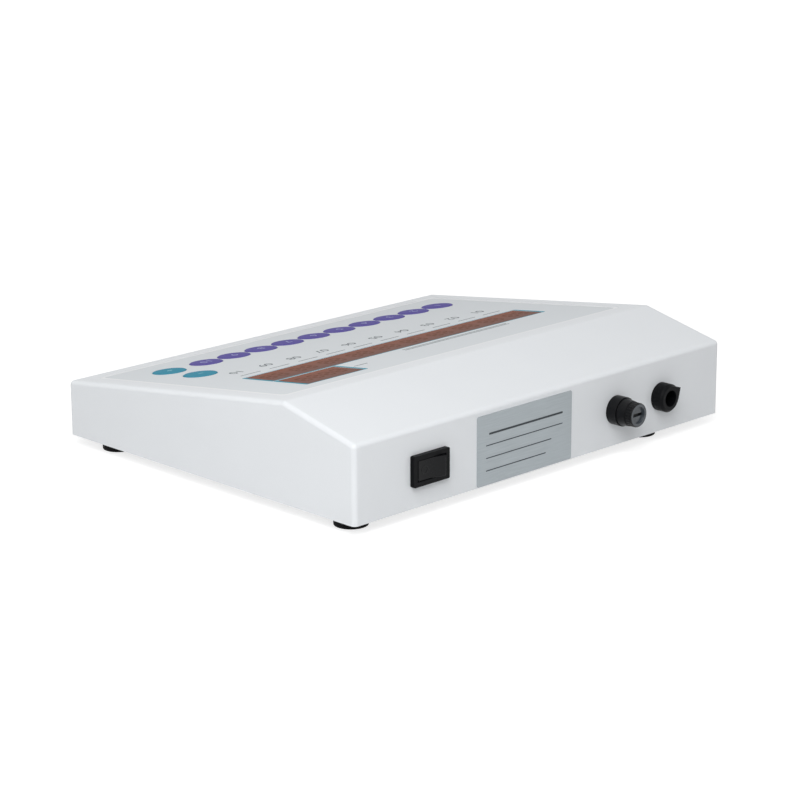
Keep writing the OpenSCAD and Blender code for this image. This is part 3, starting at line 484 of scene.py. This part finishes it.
def lathe(name, profile):
    """Closed mesh of a profile of (radius, height) points turned about z, from one pole to the other."""
    bm = bmesh.new()
    rings = []
    for radius, height in profile:
        if radius == 0:
            rings.append([bm.verts.new((0, 0, height))] * CIRCLE_STEPS)
        else:
            rings.append([bm.verts.new((x, y, height)) for x, y in circle(0, 0, radius)])
    for upper, lower in zip(rings, rings[1:]):
        for i in range(CIRCLE_STEPS):
            following = (i + 1) % CIRCLE_STEPS
            around = [upper[i], lower[i], lower[following], upper[following]]
            bm.faces.new(dict.fromkeys(around))
    bmesh.ops.recalc_face_normals(bm, faces=bm.faces)
    return mesh_from(bm, name)


def flat_mesh(name, curve, x, y, z):
    """Mesh of a flat curve or text, which is removed, moved to a place."""
    mesh = plain_mesh(linked(name, curve))
    bpy.data.curves.remove(curve)
    mesh.transform(Matrix.Translation((x, y, z)))
    return mesh


def plate(name, outlines, low, high, edge=0.0):
    """Flat plate between two heights, with rounded edges, from the outlines of its rim and its holes."""
    curve = bpy.data.curves.new(name, "CURVE")
    curve.dimensions = "2D"
    curve.fill_mode = "BOTH"
    curve.extrude = (high - low) / 2 - edge
    curve.bevel_depth = edge
    curve.bevel_resolution = EDGE_STEPS - 1
    curve.offset = -edge
    for outline in outlines:
        spline = curve.splines.new("POLY")
        spline.points.add(len(outline) - 1)
        for point, (x, y) in zip(spline.points, outline):
            point.co = (x, y, 0, 1)
        spline.use_cyclic_u = True
    return flat_mesh(name, curve, 0, 0, (low + high) / 2)


def word(name, text, size, x, y, low, high):
    """Printed number or sign, centred on a place, between two heights."""
    curve = bpy.data.curves.new(name, "FONT")
    curve.body = text
    curve.size = size
    curve.align_x = "CENTER"
    curve.align_y = "CENTER"
    curve.extrude = (high - low) / 2
    return flat_mesh(name, curve, x, y, (low + high) / 2)


def piece(name, mesh, material, node=None, body="case", place=None):
    """Object of a mesh, at the origin, that rides on a body, or on that of the CAD node it stands for."""
    if place:
        mesh.transform(place)
    mesh.materials.clear()
    mesh.materials.append(material)
    made = linked(name, mesh)
    made.modifiers.new("Even shading", "WEIGHTED_NORMAL").keep_sharp = True
    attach(made, BODY_OF[node] if node else body)
    if node:
        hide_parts(node)
    return made


def soften(name, node, width, material):
    """Piece that stands for a CAD node, with its sharp edges rounded by a width."""
    return piece(name, soft_copy(node, width), material, node)


def dress(material, *nodes):
    """Gives CAD nodes that keep their own shape a finish."""
    for node in nodes:
        NODES[node].data.materials.clear()
        NODES[node].data.materials.append(material)


def open_tree(name, *sizes):
    """Geometry tree with inputs for its points, sizes and finish, and the sockets that give them."""
    tree = bpy.data.node_groups.new(name, "GeometryNodeTree")
    kinds = {"Geometry": "NodeSocketGeometry", **dict.fromkeys(sizes, "NodeSocketFloat"),
             "Finish": "NodeSocketMaterial"}
    for label, kind in kinds.items():
        tree.interface.new_socket(label, in_out="INPUT", socket_type=kind)
    tree.interface.new_socket("Geometry", in_out="OUTPUT", socket_type="NodeSocketGeometry")
    return tree, add(tree, "NodeGroupInput").outputs


def close_tree(tree, given, instance):
    """Ends a geometry tree: the instance on every point, made real, with its finish."""
    placed = add(tree, "GeometryNodeInstanceOnPoints", {"Points": given["Geometry"], "Instance": instance})
    real = add(tree, "GeometryNodeRealizeInstances", {"Geometry": placed})
    painted = add(tree, "GeometryNodeSetMaterial", {"Geometry": real, "Material": given["Finish"]})
    add(tree, "NodeGroupOutput", {"Geometry": painted})
    return tree


def grow(name, tree, points, values):
    """Plain mesh that a geometry tree makes from points and the values of its inputs."""
    seed = bpy.data.meshes.new(name)
    seed.from_pydata([tuple(point) for point in points], [], [])
    host = linked(name, seed)
    modifier = host.modifiers.new("Grow", "NODES")
    modifier.node_group = tree
    for item in tree.interface.items_tree:
        if item.in_out == "INPUT" and item.name in values:
            modifier[item.identifier] = values[item.name]
    return plain_mesh(host)


def screw_tree():
    """Tree that sets a pan-head screw with a cross recess at each point, its head below the point."""
    tree, given = open_tree("pan_head_screw", "Head", "Crown", "Head Height", "Shank", "Shank Length",
                            "Recess Length", "Recess Width", "Recess Depth")
    half = {size: add(tree, "ShaderNodeMath", {0: given[size], 1: 0.5}, operation="MULTIPLY")
            for size in ("Head", "Crown", "Shank", "Shank Length")}
    below = add(tree, "ShaderNodeMath", {0: given["Head Height"], 1: -1.0}, operation="MULTIPLY")
    deep = add(tree, "ShaderNodeMath", {0: given["Recess Depth"], 1: 2.0}, operation="MULTIPLY")
    head = add(tree, "GeometryNodeMeshCone",
               {"Vertices": HEAD_SIDES, "Radius Top": half["Crown"], "Radius Bottom": half["Head"],
                "Depth": given["Head Height"]})
    turned = add(tree, "GeometryNodeTransform", {"Geometry": head, "Rotation": (math.pi, 0, 0)})
    shank = add(tree, "GeometryNodeMeshCylinder",
                {"Vertices": SHANK_SIDES, "Radius": half["Shank"], "Depth": given["Shank Length"]})
    up = add(tree, "ShaderNodeCombineXYZ", {"Z": half["Shank Length"]})
    raised = add(tree, "GeometryNodeTransform", {"Geometry": shank, "Translation": up})
    size = add(tree, "ShaderNodeCombineXYZ",
               {"X": given["Recess Length"], "Y": given["Recess Width"], "Z": deep})
    bar = add(tree, "GeometryNodeMeshCube", {"Size": size})
    low = add(tree, "ShaderNodeCombineXYZ", {"Z": below})
    cuts = [add(tree, "GeometryNodeTransform",
                {"Geometry": bar, "Translation": low, "Rotation": (0, 0, turn)}) for turn in (0, math.pi / 2)]
    crossed = add(tree, "GeometryNodeMeshBoolean", {"Mesh 1": turned, "Mesh 2": cuts},
                  operation="DIFFERENCE", solver="EXACT")
    whole = add(tree, "GeometryNodeJoinGeometry", {"Geometry": [crossed, raised]})
    return close_tree(tree, given, whole)


def rib_tree():
    """Tree that stands round ribs at the points of a grip's circle."""
    tree, given = open_tree("grip_rib", "Width", "Length")
    radius = add(tree, "ShaderNodeMath", {0: given["Width"], 1: 0.5}, operation="MULTIPLY")
    rib = add(tree, "GeometryNodeMeshCylinder",
              {"Vertices": RIB_SIDES, "Radius": radius, "Depth": given["Length"]})
    return close_tree(tree, given, rib)


def digit_tree():
    """Tree that draws the seven segments of a digit at each point."""
    tree, given = open_tree("seven_segments", "Width", "Height", "Stroke", "Thickness", "Gap")
    half = add(tree, "ShaderNodeMath", {0: given["Height"], 1: 0.5}, operation="MULTIPLY")
    lower = add(tree, "ShaderNodeMath", {0: half, 1: -1.0}, operation="MULTIPLY")
    across, upright = (add(tree, "ShaderNodeMath", {0: whole, 1: given["Gap"]}, operation="SUBTRACT")
                       for whole in (given["Width"], half))
    start = add(tree, "ShaderNodeCombineXYZ", {"Y": lower})
    step = add(tree, "ShaderNodeCombineXYZ", {"Y": half})
    rows = add(tree, "GeometryNodeMeshLine", {"Count": 3, "Start Location": start, "Offset": step})
    posts = add(tree, "GeometryNodeMeshGrid",
                {"Size X": given["Width"], "Size Y": half, "Vertices X": 2, "Vertices Y": 2})
    segments = []
    for points, x, y in ((rows, across, given["Stroke"]), (posts, given["Stroke"], upright)):
        size = add(tree, "ShaderNodeCombineXYZ", {"X": x, "Y": y, "Z": given["Thickness"]})
        bar = add(tree, "GeometryNodeMeshCube", {"Size": size})
        segments.append(add(tree, "GeometryNodeInstanceOnPoints", {"Points": points, "Instance": bar}))
    digit = add(tree, "GeometryNodeJoinGeometry", {"Geometry": segments})
    return close_tree(tree, given, digit)


def solid_boxes(node):
    """Lowest and highest corners of each separate solid of a CAD node, ordered along x and then y."""
    bm = merged(node)
    left = set(bm.verts)
    boxes = []
    while left:
        group = [left.pop()]
        for vertex in group:
            near = {edge.other_vert(vertex) for edge in vertex.link_edges} & left
            left -= near
            group.extend(near)
        along = list(zip(*(vertex.co for vertex in group)))
        boxes.append((Vector(map(min, along)), Vector(map(max, along))))
    bm.free()
    return sorted(boxes, key=lambda box: tuple(box[0]))


class TALLY_OT_case(bpy.types.Operator):
    """Smooth the moulded case and round the base plate"""

    bl_idname = "tally.case"
    bl_label = "Case and Base"

    def execute(self, context):
        look = context.scene.tally_case
        piece("case_shell", soft_copy("top_case"), finish("moulded_abs", look.shell), "top_case")
        soften("base_pan", "base_plate", look.base_edge, finish("enamelled_steel", look.base))
        return {"FINISHED"}


class TALLY_OT_feet(bpy.types.Operator):
    """Round the rubber feet"""

    bl_idname = "tally.feet"
    bl_label = "Rubber Feet"

    def execute(self, context):
        look = context.scene.tally_case
        rubber = finish("moulded_rubber", look.rubber)
        for node in FEET:
            soften(node + "_rubber", node, look.foot_edge, rubber)
        return {"FINISHED"}


class TALLY_OT_screws(bpy.types.Operator):
    """Set the screws that hold the base plate and the feet"""

    bl_idname = "tally.screws"
    bl_label = "Screws"

    HEAD_D = 5.6 * MM
    HEAD_H = 1.8 * MM
    SHANK_D = 3.0 * MM
    RECESS = {"Recess Length": 3.4 * MM, "Recess Width": 0.9 * MM, "Recess Depth": 0.9 * MM}

    def execute(self, context):
        look = context.scene.tally_case
        tree = screw_tree()
        zinc = finish("zinc_plated_steel", linear(ZINC))
        for node in ("case_screws", "foot_screws"):
            boxes = solid_boxes(node)
            seats = [((low.x + high.x) / 2, (low.y + high.y) / 2, low.z + self.HEAD_H) for low, high in boxes]
            values = {"Head": self.HEAD_D, "Crown": look.screw_crown, "Head Height": self.HEAD_H,
                      "Shank": self.SHANK_D, "Shank Length": boxes[0][1].z - seats[0][2], "Finish": zinc,
                      **self.RECESS}
            piece(node + "_zinc", grow(node, tree, seats, values), zinc, node)
        return {"FINISHED"}


def digit_places(node, modules, digits):
    """Middles across and up the panel of the digits of a row of modules, from the left."""
    low, high = panel_box(node)
    width = (high.x - low.x) if modules == 1 else MODULE_W
    pitch = 0.0 if modules == 1 else (high.x - low.x - width) / (modules - 1)
    starts = [low.x + i * pitch for i in range(modules)]
    middles = [start + width * (k + 0.5) / digits for start in starts for k in range(digits)]
    return [(x, (low.y + high.y) / 2) for x in middles]


class TALLY_OT_overlay(bpy.types.Operator):
    """Make the printed film of the key panel, with a white line round its rim as a painted highlight of its edge,
    its window borders and its numbers
    """

    bl_idname = "tally.overlay"
    bl_label = "Panel Film and Printing"

    CORNER = 3.0 * MM
    BORDER_CORNER = 0.6 * MM
    # Distances of the printing from the windows, and the sizes of its rules
    NUMBER_GAP = 18.0 * MM
    RULE_GAP = 7.0 * MM
    RULE_W = 13.0 * MM
    RULE_H = 0.7 * MM
    REAR_RULE_START = 33.0 * MM
    REAR_RULE_W = 76.0 * MM
    REAR_RULE_GAPS = (4.5 * MM, 6.7 * MM)
    SHORT_RULE_GAP = 8.0 * MM
    SHORT_RULE_W = 9.0 * MM

    def execute(self, context):
        look = context.scene.tally_panel
        low, high = panel_box("key_overlay")
        ink = (high.z, high.z + look.ink_t)
        windows = [grown(*panel_box(node), -look.lens_lip) for node in ("tally_window", "total_window")]
        middles = [panel_middle(node) for node in COUNT_KEYS + FUNCTION_KEYS]
        holes = [circle(middle.x, middle.y, look.cap_d / 2 + look.key_gap) for middle in middles]
        holes += [rounded(*window, 0) for window in windows]
        film = plate("key_film", [rounded(low, high, self.CORNER), *holes], low.z, high.z, look.film_edge)
        piece("key_film", film, finish("printed_polycarbonate", look.film), "key_overlay", place=PANEL)
        # A white line printed round the rim of the film: painted highlight standing in for the film's edge
        # catching the light
        rim = grown(low, high, -look.film_edge)
        line = [rounded(*corners, self.CORNER) for corners in (rim, grown(*rim, -look.rim_highlight_w))]
        self.print_on("film_keyline", plate("film_keyline", line, *ink), look.rim_highlight, "white_ink")
        margin = Vector((look.border_w, look.border_side_w))
        borders = [plate("border", [rounded(Vector(near) - margin, Vector(far) + margin, self.BORDER_CORNER),
                                    rounded(*grown(near, far, look.film_edge), 0)], *ink)
                   for near, far in windows]
        self.print_on("window_borders", joined("window_borders", borders), look.border, "teal_ink")
        marks = joined("panel_marks", self.marks(look, *windows, ink))
        self.print_on("panel_marks", marks, look.print_ink, "grey_ink")
        return {"FINISHED"}

    def print_on(self, name, mesh, colour, ink_name):
        """Piece of printing on the film, or of painted highlight drawn as printing."""
        piece(name, mesh, finish("screen_ink", colour, ink_name), place=PANEL)

    def marks(self, look, window, short_window, ink):
        """Meshes of the numbers and the rules round the two windows, between the two heights of the ink."""
        (left, front), (_, rear) = window
        (short_left, short_front), (_, short_rear) = short_window
        drawn = []
        for i, (x, _) in enumerate(digit_places("tally_digits", len(COUNT_KEYS), 1)):
            drawn.append(word("number", f"{i + 1:02d}", look.number_h, x, front - self.NUMBER_GAP, *ink))
            drawn.append(self.rule(x, front - self.RULE_GAP, self.RULE_W, ink))
        rear_x = left + self.REAR_RULE_START + self.REAR_RULE_W / 2
        drawn += [self.rule(rear_x, rear + gap, self.REAR_RULE_W, ink) for gap in self.REAR_RULE_GAPS]
        short_x = short_left - self.SHORT_RULE_GAP
        drawn.append(self.rule(short_x, (short_front + short_rear) / 2, self.SHORT_RULE_W, ink))
        return drawn

    def rule(self, x, y, width, ink):
        """Mesh of a thin printed line, centred on a place across and up the panel."""
        half = Vector((width, self.RULE_H)) / 2
        middle = Vector((x, y))
        return plate("rule", [rounded(middle - half, middle + half, self.RULE_H * LINE_CORNER)], *ink)


class TALLY_OT_windows(bpy.types.Operator):
    """Round the smoked lenses and draw the unlit digits that show in them"""

    bl_idname = "tally.windows"
    bl_label = "Windows"

    LENS_EDGE = 0.15 * MM
    DIGIT = {"Width": 4.4 * MM, "Height": 9.0 * MM, "Stroke": 1.1 * MM, "Gap": 0.9 * MM}
    # Name of each window, its modules and the digits of one module
    WINDOWS = (("tally", len(COUNT_KEYS), 2), ("total", 1, 4))

    def execute(self, context):
        look = context.scene.tally_panel
        tree = digit_tree()
        ghost = finish("screen_ink", look.ghost, "unlit_segments")
        values = {**self.DIGIT, "Thickness": look.ink_t, "Finish": ghost}
        for name, modules, count in self.WINDOWS:
            low, high = panel_box(name + "_window")
            acrylic = smoked_acrylic(look.filter_low, look.filter_high, low.y, high.y)
            soften(name + "_lens", name + "_window", self.LENS_EDGE, acrylic)
            spots = [(x, y, high.z) for x, y in digit_places(name + "_digits", modules, count)]
            segments = grow(name + "_segments", tree, spots, values)
            piece(name + "_segments", segments, ghost, place=PANEL)
        return {"FINISHED"}


def round_key(node, look):
    """Mesh of a domed key with its flange and stem, to be turned to the panel."""
    low, high = panel_box(node)
    cap, stem, flange = look.cap_d / 2, look.stem_d / 2, (high.x - low.x) / 2
    top, bottom = high.z - look.ink_t, low.z
    flange_top = panel_box("key_overlay")[0].z - FLANGE_PLAY
    flange_low = flange_top - FLANGE_T
    rim = cap - look.key_round
    out = [i / DOME_STEPS for i in range(DOME_STEPS + 1)]
    dome = [(rim * share, top - look.key_dome * share ** 2) for share in out]
    edge = top - look.key_dome
    turns = [math.pi / 2 * i / CORNER_STEPS for i in range(1, CORNER_STEPS + 1)]
    corner = [(rim + look.key_round * math.sin(a), edge - look.key_round * (1 - math.cos(a))) for a in turns]
    under = [(cap, flange_top), (flange, flange_top), (flange, flange_low), (stem, flange_low),
             (stem, bottom), (0, bottom)]
    mesh = lathe(node, dome + corner + under)
    middle = panel_middle(node)
    mesh.transform(Matrix.Translation((middle.x, middle.y, 0)))
    return mesh


def set_keys(look, film, ink, marks, suffix):
    """Makes a domed key for each node of marks, with its mark, which reaches down to the key's rim."""
    for node, mark in marks.items():
        piece(node + "_cap", round_key(node, look), film, node, place=PANEL)
        middle = panel_middle(node)
        top = panel_box(node)[1].z
        sunk = top - look.ink_t - look.key_dome
        print_mesh = word(node, mark, look.key_mark_h, middle.x, middle.y, sunk, top)
        piece(node + suffix, print_mesh, ink, body=BODY_OF[node], place=PANEL)


class TALLY_OT_count_keys(bpy.types.Operator):
    """Make the ten domed count keys, each with its number"""

    bl_idname = "tally.count_keys"
    bl_label = "Count Keys"

    def execute(self, context):
        look = context.scene.tally_panel
        violet = finish("key_film", look.violet, "violet_key_film")
        ink = finish("screen_ink", look.mark, "lilac_ink")
        set_keys(look, violet, ink, {node: str(i + 1) for i, node in enumerate(COUNT_KEYS)}, "_number")
        return {"FINISHED"}


class TALLY_OT_function_keys(bpy.types.Operator):
    """Make the two domed function keys, each with its sign"""

    bl_idname = "tally.function_keys"
    bl_label = "Function Keys"

    SIGNS = ("+", "\u2212")

    def execute(self, context):
        look = context.scene.tally_panel
        teal = finish("key_film", look.teal, "teal_key_film")
        ink = finish("screen_ink", look.teal_mark, "pale_teal_ink")
        set_keys(look, teal, ink, dict(zip(FUNCTION_KEYS, self.SIGNS)), "_sign")
        return {"FINISHED"}


class TALLY_OT_switch(bpy.types.Operator):
    """Round the switch's bezel and its rocker, and raise the marks on the rocker's two facets"""

    bl_idname = "tally.switch"
    bl_label = "Rocker Switch"

    # Least rearward part of the normal of a facet
    FACES_REAR = 0.9
    MARK_H = 4.4 * MM
    MARK_STROKE = 0.7 * MM
    MARK_RISE = 0.12 * MM

    def execute(self, context):
        look = context.scene.tally_rear
        soften("switch_bezel", "switch_body", look.bezel_edge, finish("black_nylon", look.nylon))
        polished = finish("polished_nylon", look.rocker)
        soften("rocker_paddle", "switch_rocker", look.rocker_edge, polished)
        radius = self.MARK_H / 2
        half = Vector((self.MARK_STROKE, self.MARK_H)) / 2
        ring = [circle(0, 0, radius), circle(0, 0, radius - self.MARK_STROKE)]
        bar = [rounded(-half, half, self.MARK_STROKE * LINE_CORNER)]
        marks = []
        for place, outlines in zip(self.facets(), (ring, bar)):
            mark = plate("mark", outlines, -self.MARK_RISE, self.MARK_RISE)
            mark.transform(place)
            marks.append(mark)
        piece("rocker_marks", joined("rocker_marks", marks), polished, body=BODY_OF["switch_rocker"])
        return {"FINISHED"}

    def facets(self):
        """Places of the rocker's two facets, facing out and upright, the one pressed at rest first."""
        groups = {}
        for face in NODES["switch_rocker"].data.polygons:
            if face.normal.y > self.FACES_REAR:
                groups.setdefault(round(face.normal.y, 3), []).append(face)
        up = Vector((0, 0, 1))
        places = []
        for _, faces in sorted(groups.items(), reverse=True):
            out = faces[0].normal
            area = sum(face.area for face in faces)
            middle = sum((face.center * face.area for face in faces), Vector()) / area
            turn = Matrix((up.cross(out), up, out)).transposed().to_4x4()
            places.append(Matrix.Translation(middle) @ turn)
        return places


class TALLY_OT_fuse_holder(bpy.types.Operator):
    """Round the fuse holder's collar and cap, and rib the cap's grip"""

    bl_idname = "tally.fuse_holder"
    bl_label = "Fuse Holder"

    GRIP_LEN = 4.2 * MM
    RIB_MARGIN = 0.6 * MM
    RIB_SINK = 0.1 * MM
    DISH_R = 4.4 * MM
    # Keeps what lies across the holder's axis
    ACROSS = Vector((1, 0, 1))

    def execute(self, context):
        look = context.scene.tally_rear
        thermoset = finish("black_thermoset", look.thermoset)
        soften("fuse_collar", "fuse_body", look.fuse_edge, thermoset)
        grip = soften("fuse_grip", "fuse_cap", look.fuse_edge, thermoset)
        low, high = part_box("fuse_cap")
        middle = Vector(((low.x + high.x) / 2, high.y - self.GRIP_LEN / 2, (low.z + high.z) / 2))
        spokes = [(vertex.co - middle) * self.ACROSS for vertex in NODES["fuse_cap"].data.vertices
                  if vertex.co.y > middle.y]
        ring = circle(0, 0, max(spoke.length for spoke in spokes) - self.RIB_SINK, look.rib_count)
        values = {"Width": look.rib_w, "Length": self.GRIP_LEN - 2 * self.RIB_MARGIN, "Finish": thermoset}
        ribs = grow("fuse_ribs", rib_tree(), [(x, y, 0) for x, y in ring], values)
        piece("fuse_grip_ribs", ribs, thermoset, body=BODY_OF["fuse_cap"],
              place=Matrix.Translation(middle) @ REAR)
        # The dish gets the lighter grey, partly painted sheen of the glossy end
        grip.data.materials.append(finish("polished_phenolic", look.dish_tone_and_sheen))
        for face in grip.data.polygons:
            spoke = (face.center - middle) * self.ACROSS
            if face.center.y > middle.y and spoke.length < self.DISH_R:
                face.material_index = 1
        dress(thermoset, "fuse_nut", "fuse_carrier")
        dress(finish("fuse_glass", linear("#F2F8F8")), "fuse_link")
        dress(finish("nickel_plate", linear("#D8D6CF")), "fuse_end_caps")
        return {"FINISHED"}


class TALLY_OT_cord_gland(bpy.types.Operator):
    """Round the cord gland"""

    bl_idname = "tally.cord_gland"
    bl_label = "Cord Gland"

    def execute(self, context):
        look = context.scene.tally_rear
        nylon = finish("black_nylon", look.nylon)
        soften("gland_bush", "cord_gland", look.gland_edge, nylon)
        dress(nylon, "gland_nut")
        return {"FINISHED"}


class TALLY_OT_rating_plate(bpy.types.Operator):
    """Round the foil rating plate and rule its blank lines"""

    bl_idname = "tally.rating_plate"
    bl_label = "Rating Plate"

    # Height, left end and right end of each rule as shares of the plate, and its thickness
    RULES = ((0.72, 0.12, 0.9, 1.0 * MM), (0.56, 0.09, 0.9, 0.5 * MM), (0.38, 0.09, 0.78, 0.5 * MM),
             (0.2, 0.09, 0.72, 0.5 * MM))
    INK_T = 0.03 * MM

    def execute(self, context):
        look = context.scene.tally_rear
        soften("rating_foil", "rating_plate", look.plate_edge, finish("brushed_foil", look.foil))
        low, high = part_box("rating_plate")
        size = high - low
        rules = []
        for up, left, right, thick in self.RULES:
            z = low.z + size.z * up
            near = (high.x - size.x * right, -z - thick / 2)
            far = (high.x - size.x * left, -z + thick / 2)
            outline = rounded(near, far, thick * LINE_CORNER)
            rules.append(plate("rule", [outline], high.y, high.y + self.INK_T))
        ink = finish("screen_ink", look.rule, "rule_ink")
        piece("rating_rules", joined("rating_rules", rules), ink, place=REAR)
        return {"FINISHED"}


class TALLY_OT_electronics(bpy.types.Operator):
    """Give the boards and what is on them their finishes"""

    bl_idname = "tally.electronics"
    bl_label = "Boards and Wiring"

    # Finish and colour of the CAD nodes that have them
    PARTS = (
        ("board_laminate", "#1E6B3A", "display_board", "power_board"),
        ("moulded_epoxy", "#262626", "key_switches", "controller_chip", "beeper", "regulator"),
        ("digit_epoxy", "#3A1512", "tally_digits", "total_digits"),
        ("ivory_nylon", "#E4DCC4", "display_header", "power_header"),
        ("ribbon_vinyl", "#AEB2B8", "ribbon_cable"),
        ("plated_brass", "#D2B066", "power_standoffs", "switch_terminals", "fuse_terminals"),
        ("sintered_ferrite", "#3A3B3F", "transformer_core"),
        ("wound_copper", "#D8A83A", "transformer_winding"),
        ("shrunk_sleeve", "#2A3350", "smoothing_capacitor"),
        ("black_anodised", "#55585C", "heatsink"),
        ("green_nylon", "#2E8B57", "mains_terminal"),
        ("guide_styrene", "#606163", "key_guide"),
        ("zinc_plated_steel", ZINC, "board_screws", "power_screws", "foot_nuts"),
    )
    BROWN = "#76482E"
    BLUE = "#4068A8"

    def execute(self, context):
        for kind, code, *nodes in self.PARTS:
            dress(finish(kind, linear(code)), *nodes)
        dress(finish("wire_vinyl", linear(self.BROWN), "brown_wire_vinyl"), "switch_leads")
        dress(finish("wire_vinyl", linear(self.BLUE), "blue_wire_vinyl"), "fuse_leads")
        return {"FINISHED"}


def direction(azimuth, elevation):
    """Unit vector from the object towards a bearing, with 0 in front and 90 to the right, and a height."""
    level = math.cos(elevation)
    return Vector((math.sin(azimuth) * level, -math.cos(azimuth) * level, math.sin(elevation)))


class TALLY_OT_stage(bpy.types.Operator):
    """Lay the floor and set the light and the camera"""

    bl_idname = "tally.stage"
    bl_label = "Stage"

    FLOOR_HALF = 6.0
    # The floor lies this far below the feet, so that their faces do not fight
    FLOOR_GAP = 0.02 * MM
    # Share of light that the floor sends back to the object, and the share that the camera sees on it
    FLOOR_BOUNCE = 0.66
    FLOOR_SHADOW = 0.45
    # Glow of the floor near the object, where it must still show the shadow, and far from it
    GLOW_NEAR = 0.74
    GLOW_FAR = 1.0
    NEAR = 0.25
    FAR = 0.9
    # Bearing, height, distance and breadth of the lamps
    KEY_LAMP = (math.radians(128), math.radians(43), 1.25, 0.9)
    FRONT_LAMP = (math.radians(15), math.radians(9), 1.6, 1.0)
    LEFT_LAMP = (math.radians(262), math.radians(9), 1.6, 1.0)

    def seen(self, tree):
        """Share of a ray that the camera, a mirror or a glass shows."""
        path = add(tree, "ShaderNodeLightPath").outputs
        both = add(tree, "ShaderNodeMath", {0: path["Is Camera Ray"], 1: path["Is Glossy Ray"]},
                   operation="MAXIMUM")
        return add(tree, "ShaderNodeMath", {0: both, 1: path["Is Transmission Ray"]}, operation="MAXIMUM")

    def lay_floor(self, look):
        """Floor that looks evenly white in the light, keeps the shadow and bounces light as white paper."""
        made = bpy.data.materials.new("white_paper")
        tree = empty_tree(made)
        bounce, shadow = (add(tree, "ShaderNodeBsdfDiffuse", {"Color": (*look.floor * share, 1.0)})
                          for share in (self.FLOOR_BOUNCE, self.FLOOR_SHADOW))
        place = add(tree, "ShaderNodeTexCoord").outputs["Object"]
        away = add(tree, "ShaderNodeVectorMath", {0: place}, operation="LENGTH").outputs["Value"]
        level = add(tree, "ShaderNodeMapRange",
                    {"Value": away, "From Min": self.NEAR, "From Max": self.FAR,
                     "To Min": self.GLOW_NEAR, "To Max": self.GLOW_FAR})
        glow = add(tree, "ShaderNodeEmission", {"Color": (*look.floor, 1.0), "Strength": level})
        shown = add(tree, "ShaderNodeAddShader", {0: shadow, 1: glow})
        mixed = add(tree, "ShaderNodeMixShader", {0: self.seen(tree), 1: bounce, 2: shown})
        add(tree, "ShaderNodeOutputMaterial", {"Surface": mixed})
        half = self.FLOOR_HALF
        corners = [(x, y, -self.FLOOR_GAP) for x, y in rounded((-half, -half), (half, half), 0)]
        mesh = bpy.data.meshes.new("floor")
        mesh.from_pydata(corners, [], [(0, 1, 2, 3)])
        mesh.materials.append(made)
        floor = linked("floor", mesh)

    def set_light(self, scene, look):
        """Even sky, white where it is seen, a large soft lamp behind on the right, two weak ones opposite."""
        world = bpy.data.worlds.new("even_sky")
        tree = empty_tree(world)
        lit = add(tree, "ShaderNodeMapRange", {"Value": self.seen(tree), "To Min": look.sky, "To Max": 1.0})
        sky = add(tree, "ShaderNodeBackground", {"Color": (*look.floor, 1.0), "Strength": lit})
        add(tree, "ShaderNodeOutputWorld", {"Surface": sky})
        scene.world = world
        lamps = {"soft_key": (look.key, *self.KEY_LAMP), "soft_front": (look.fill, *self.FRONT_LAMP),
                 "soft_left": (look.fill, *self.LEFT_LAMP)}
        for name, (power, azimuth, elevation, distance, size) in lamps.items():
            data = bpy.data.lights.new(name, "AREA")
            data.energy = power
            data.size = size
            lamp = linked(name, data)
            toward = direction(azimuth, elevation)
            lamp.location = toward * distance
            lamp.rotation_euler = toward.to_track_quat("Z", "Y").to_euler()

    def set_camera(self, scene, look):
        """Camera that looks at the target from its bearing and height."""
        data = bpy.data.cameras.new("camera")
        data.lens = look.lens
        camera = linked("camera", data)
        toward = direction(look.azimuth, look.elevation)
        turn = toward.to_track_quat("Z", "Y").to_matrix().to_4x4() @ Matrix.Rotation(look.roll, 4, "Z")
        camera.matrix_world = Matrix.Translation(Vector(look.target) + toward * look.distance) @ turn
        scene.camera = camera

    def execute(self, context):
        scene = context.scene
        look = scene.tally_stage
        scene.view_settings.view_transform = "Standard"
        self.lay_floor(look)
        self.set_light(scene, look)
        self.set_camera(scene, look)
        return {"FINISHED"}


OPERATORS = [
    TALLY_OT_case, TALLY_OT_feet, TALLY_OT_screws, TALLY_OT_overlay, TALLY_OT_windows, TALLY_OT_count_keys,
    TALLY_OT_function_keys, TALLY_OT_switch, TALLY_OT_fuse_holder, TALLY_OT_cord_gland, TALLY_OT_rating_plate,
    TALLY_OT_electronics, TALLY_OT_stage,
]


class TALLY_PT_sidebar(bpy.types.Panel):
    """Settings of the tally counter and the steps that build it"""

    bl_idname = "TALLY_PT_sidebar"
    bl_label = "Tally Counter"
    bl_space_type = "VIEW_3D"
    bl_region_type = "UI"
    bl_category = "Tally Counter"

    def draw(self, context):
        for name, group in SETTINGS.items():
            box = self.layout.box()
            box.label(text=group.__doc__.rstrip("."))
            for prop in group.__annotations__:
                box.prop(getattr(context.scene, name), prop)
        for operator in OPERATORS:
            self.layout.operator(operator.bl_idname)


CLASSES = [*SETTINGS.values(), *OPERATORS, TALLY_PT_sidebar]


def register():
    """Registers the settings, the operators and the panel."""
    for cls in CLASSES:
        bpy.utils.register_class(cls)
    for name, group in SETTINGS.items():
        setattr(bpy.types.Scene, name, PointerProperty(type=group))


def unregister():
    """Removes what register added."""
    for name in SETTINGS:
        delattr(bpy.types.Scene, name)
    for cls in reversed(CLASSES):
        bpy.utils.unregister_class(cls)


def main():
    register()
    for operator in OPERATORS:
        getattr(bpy.ops.tally, operator.bl_idname.removeprefix("tally."))()


if __name__ == "__main__":
    main()
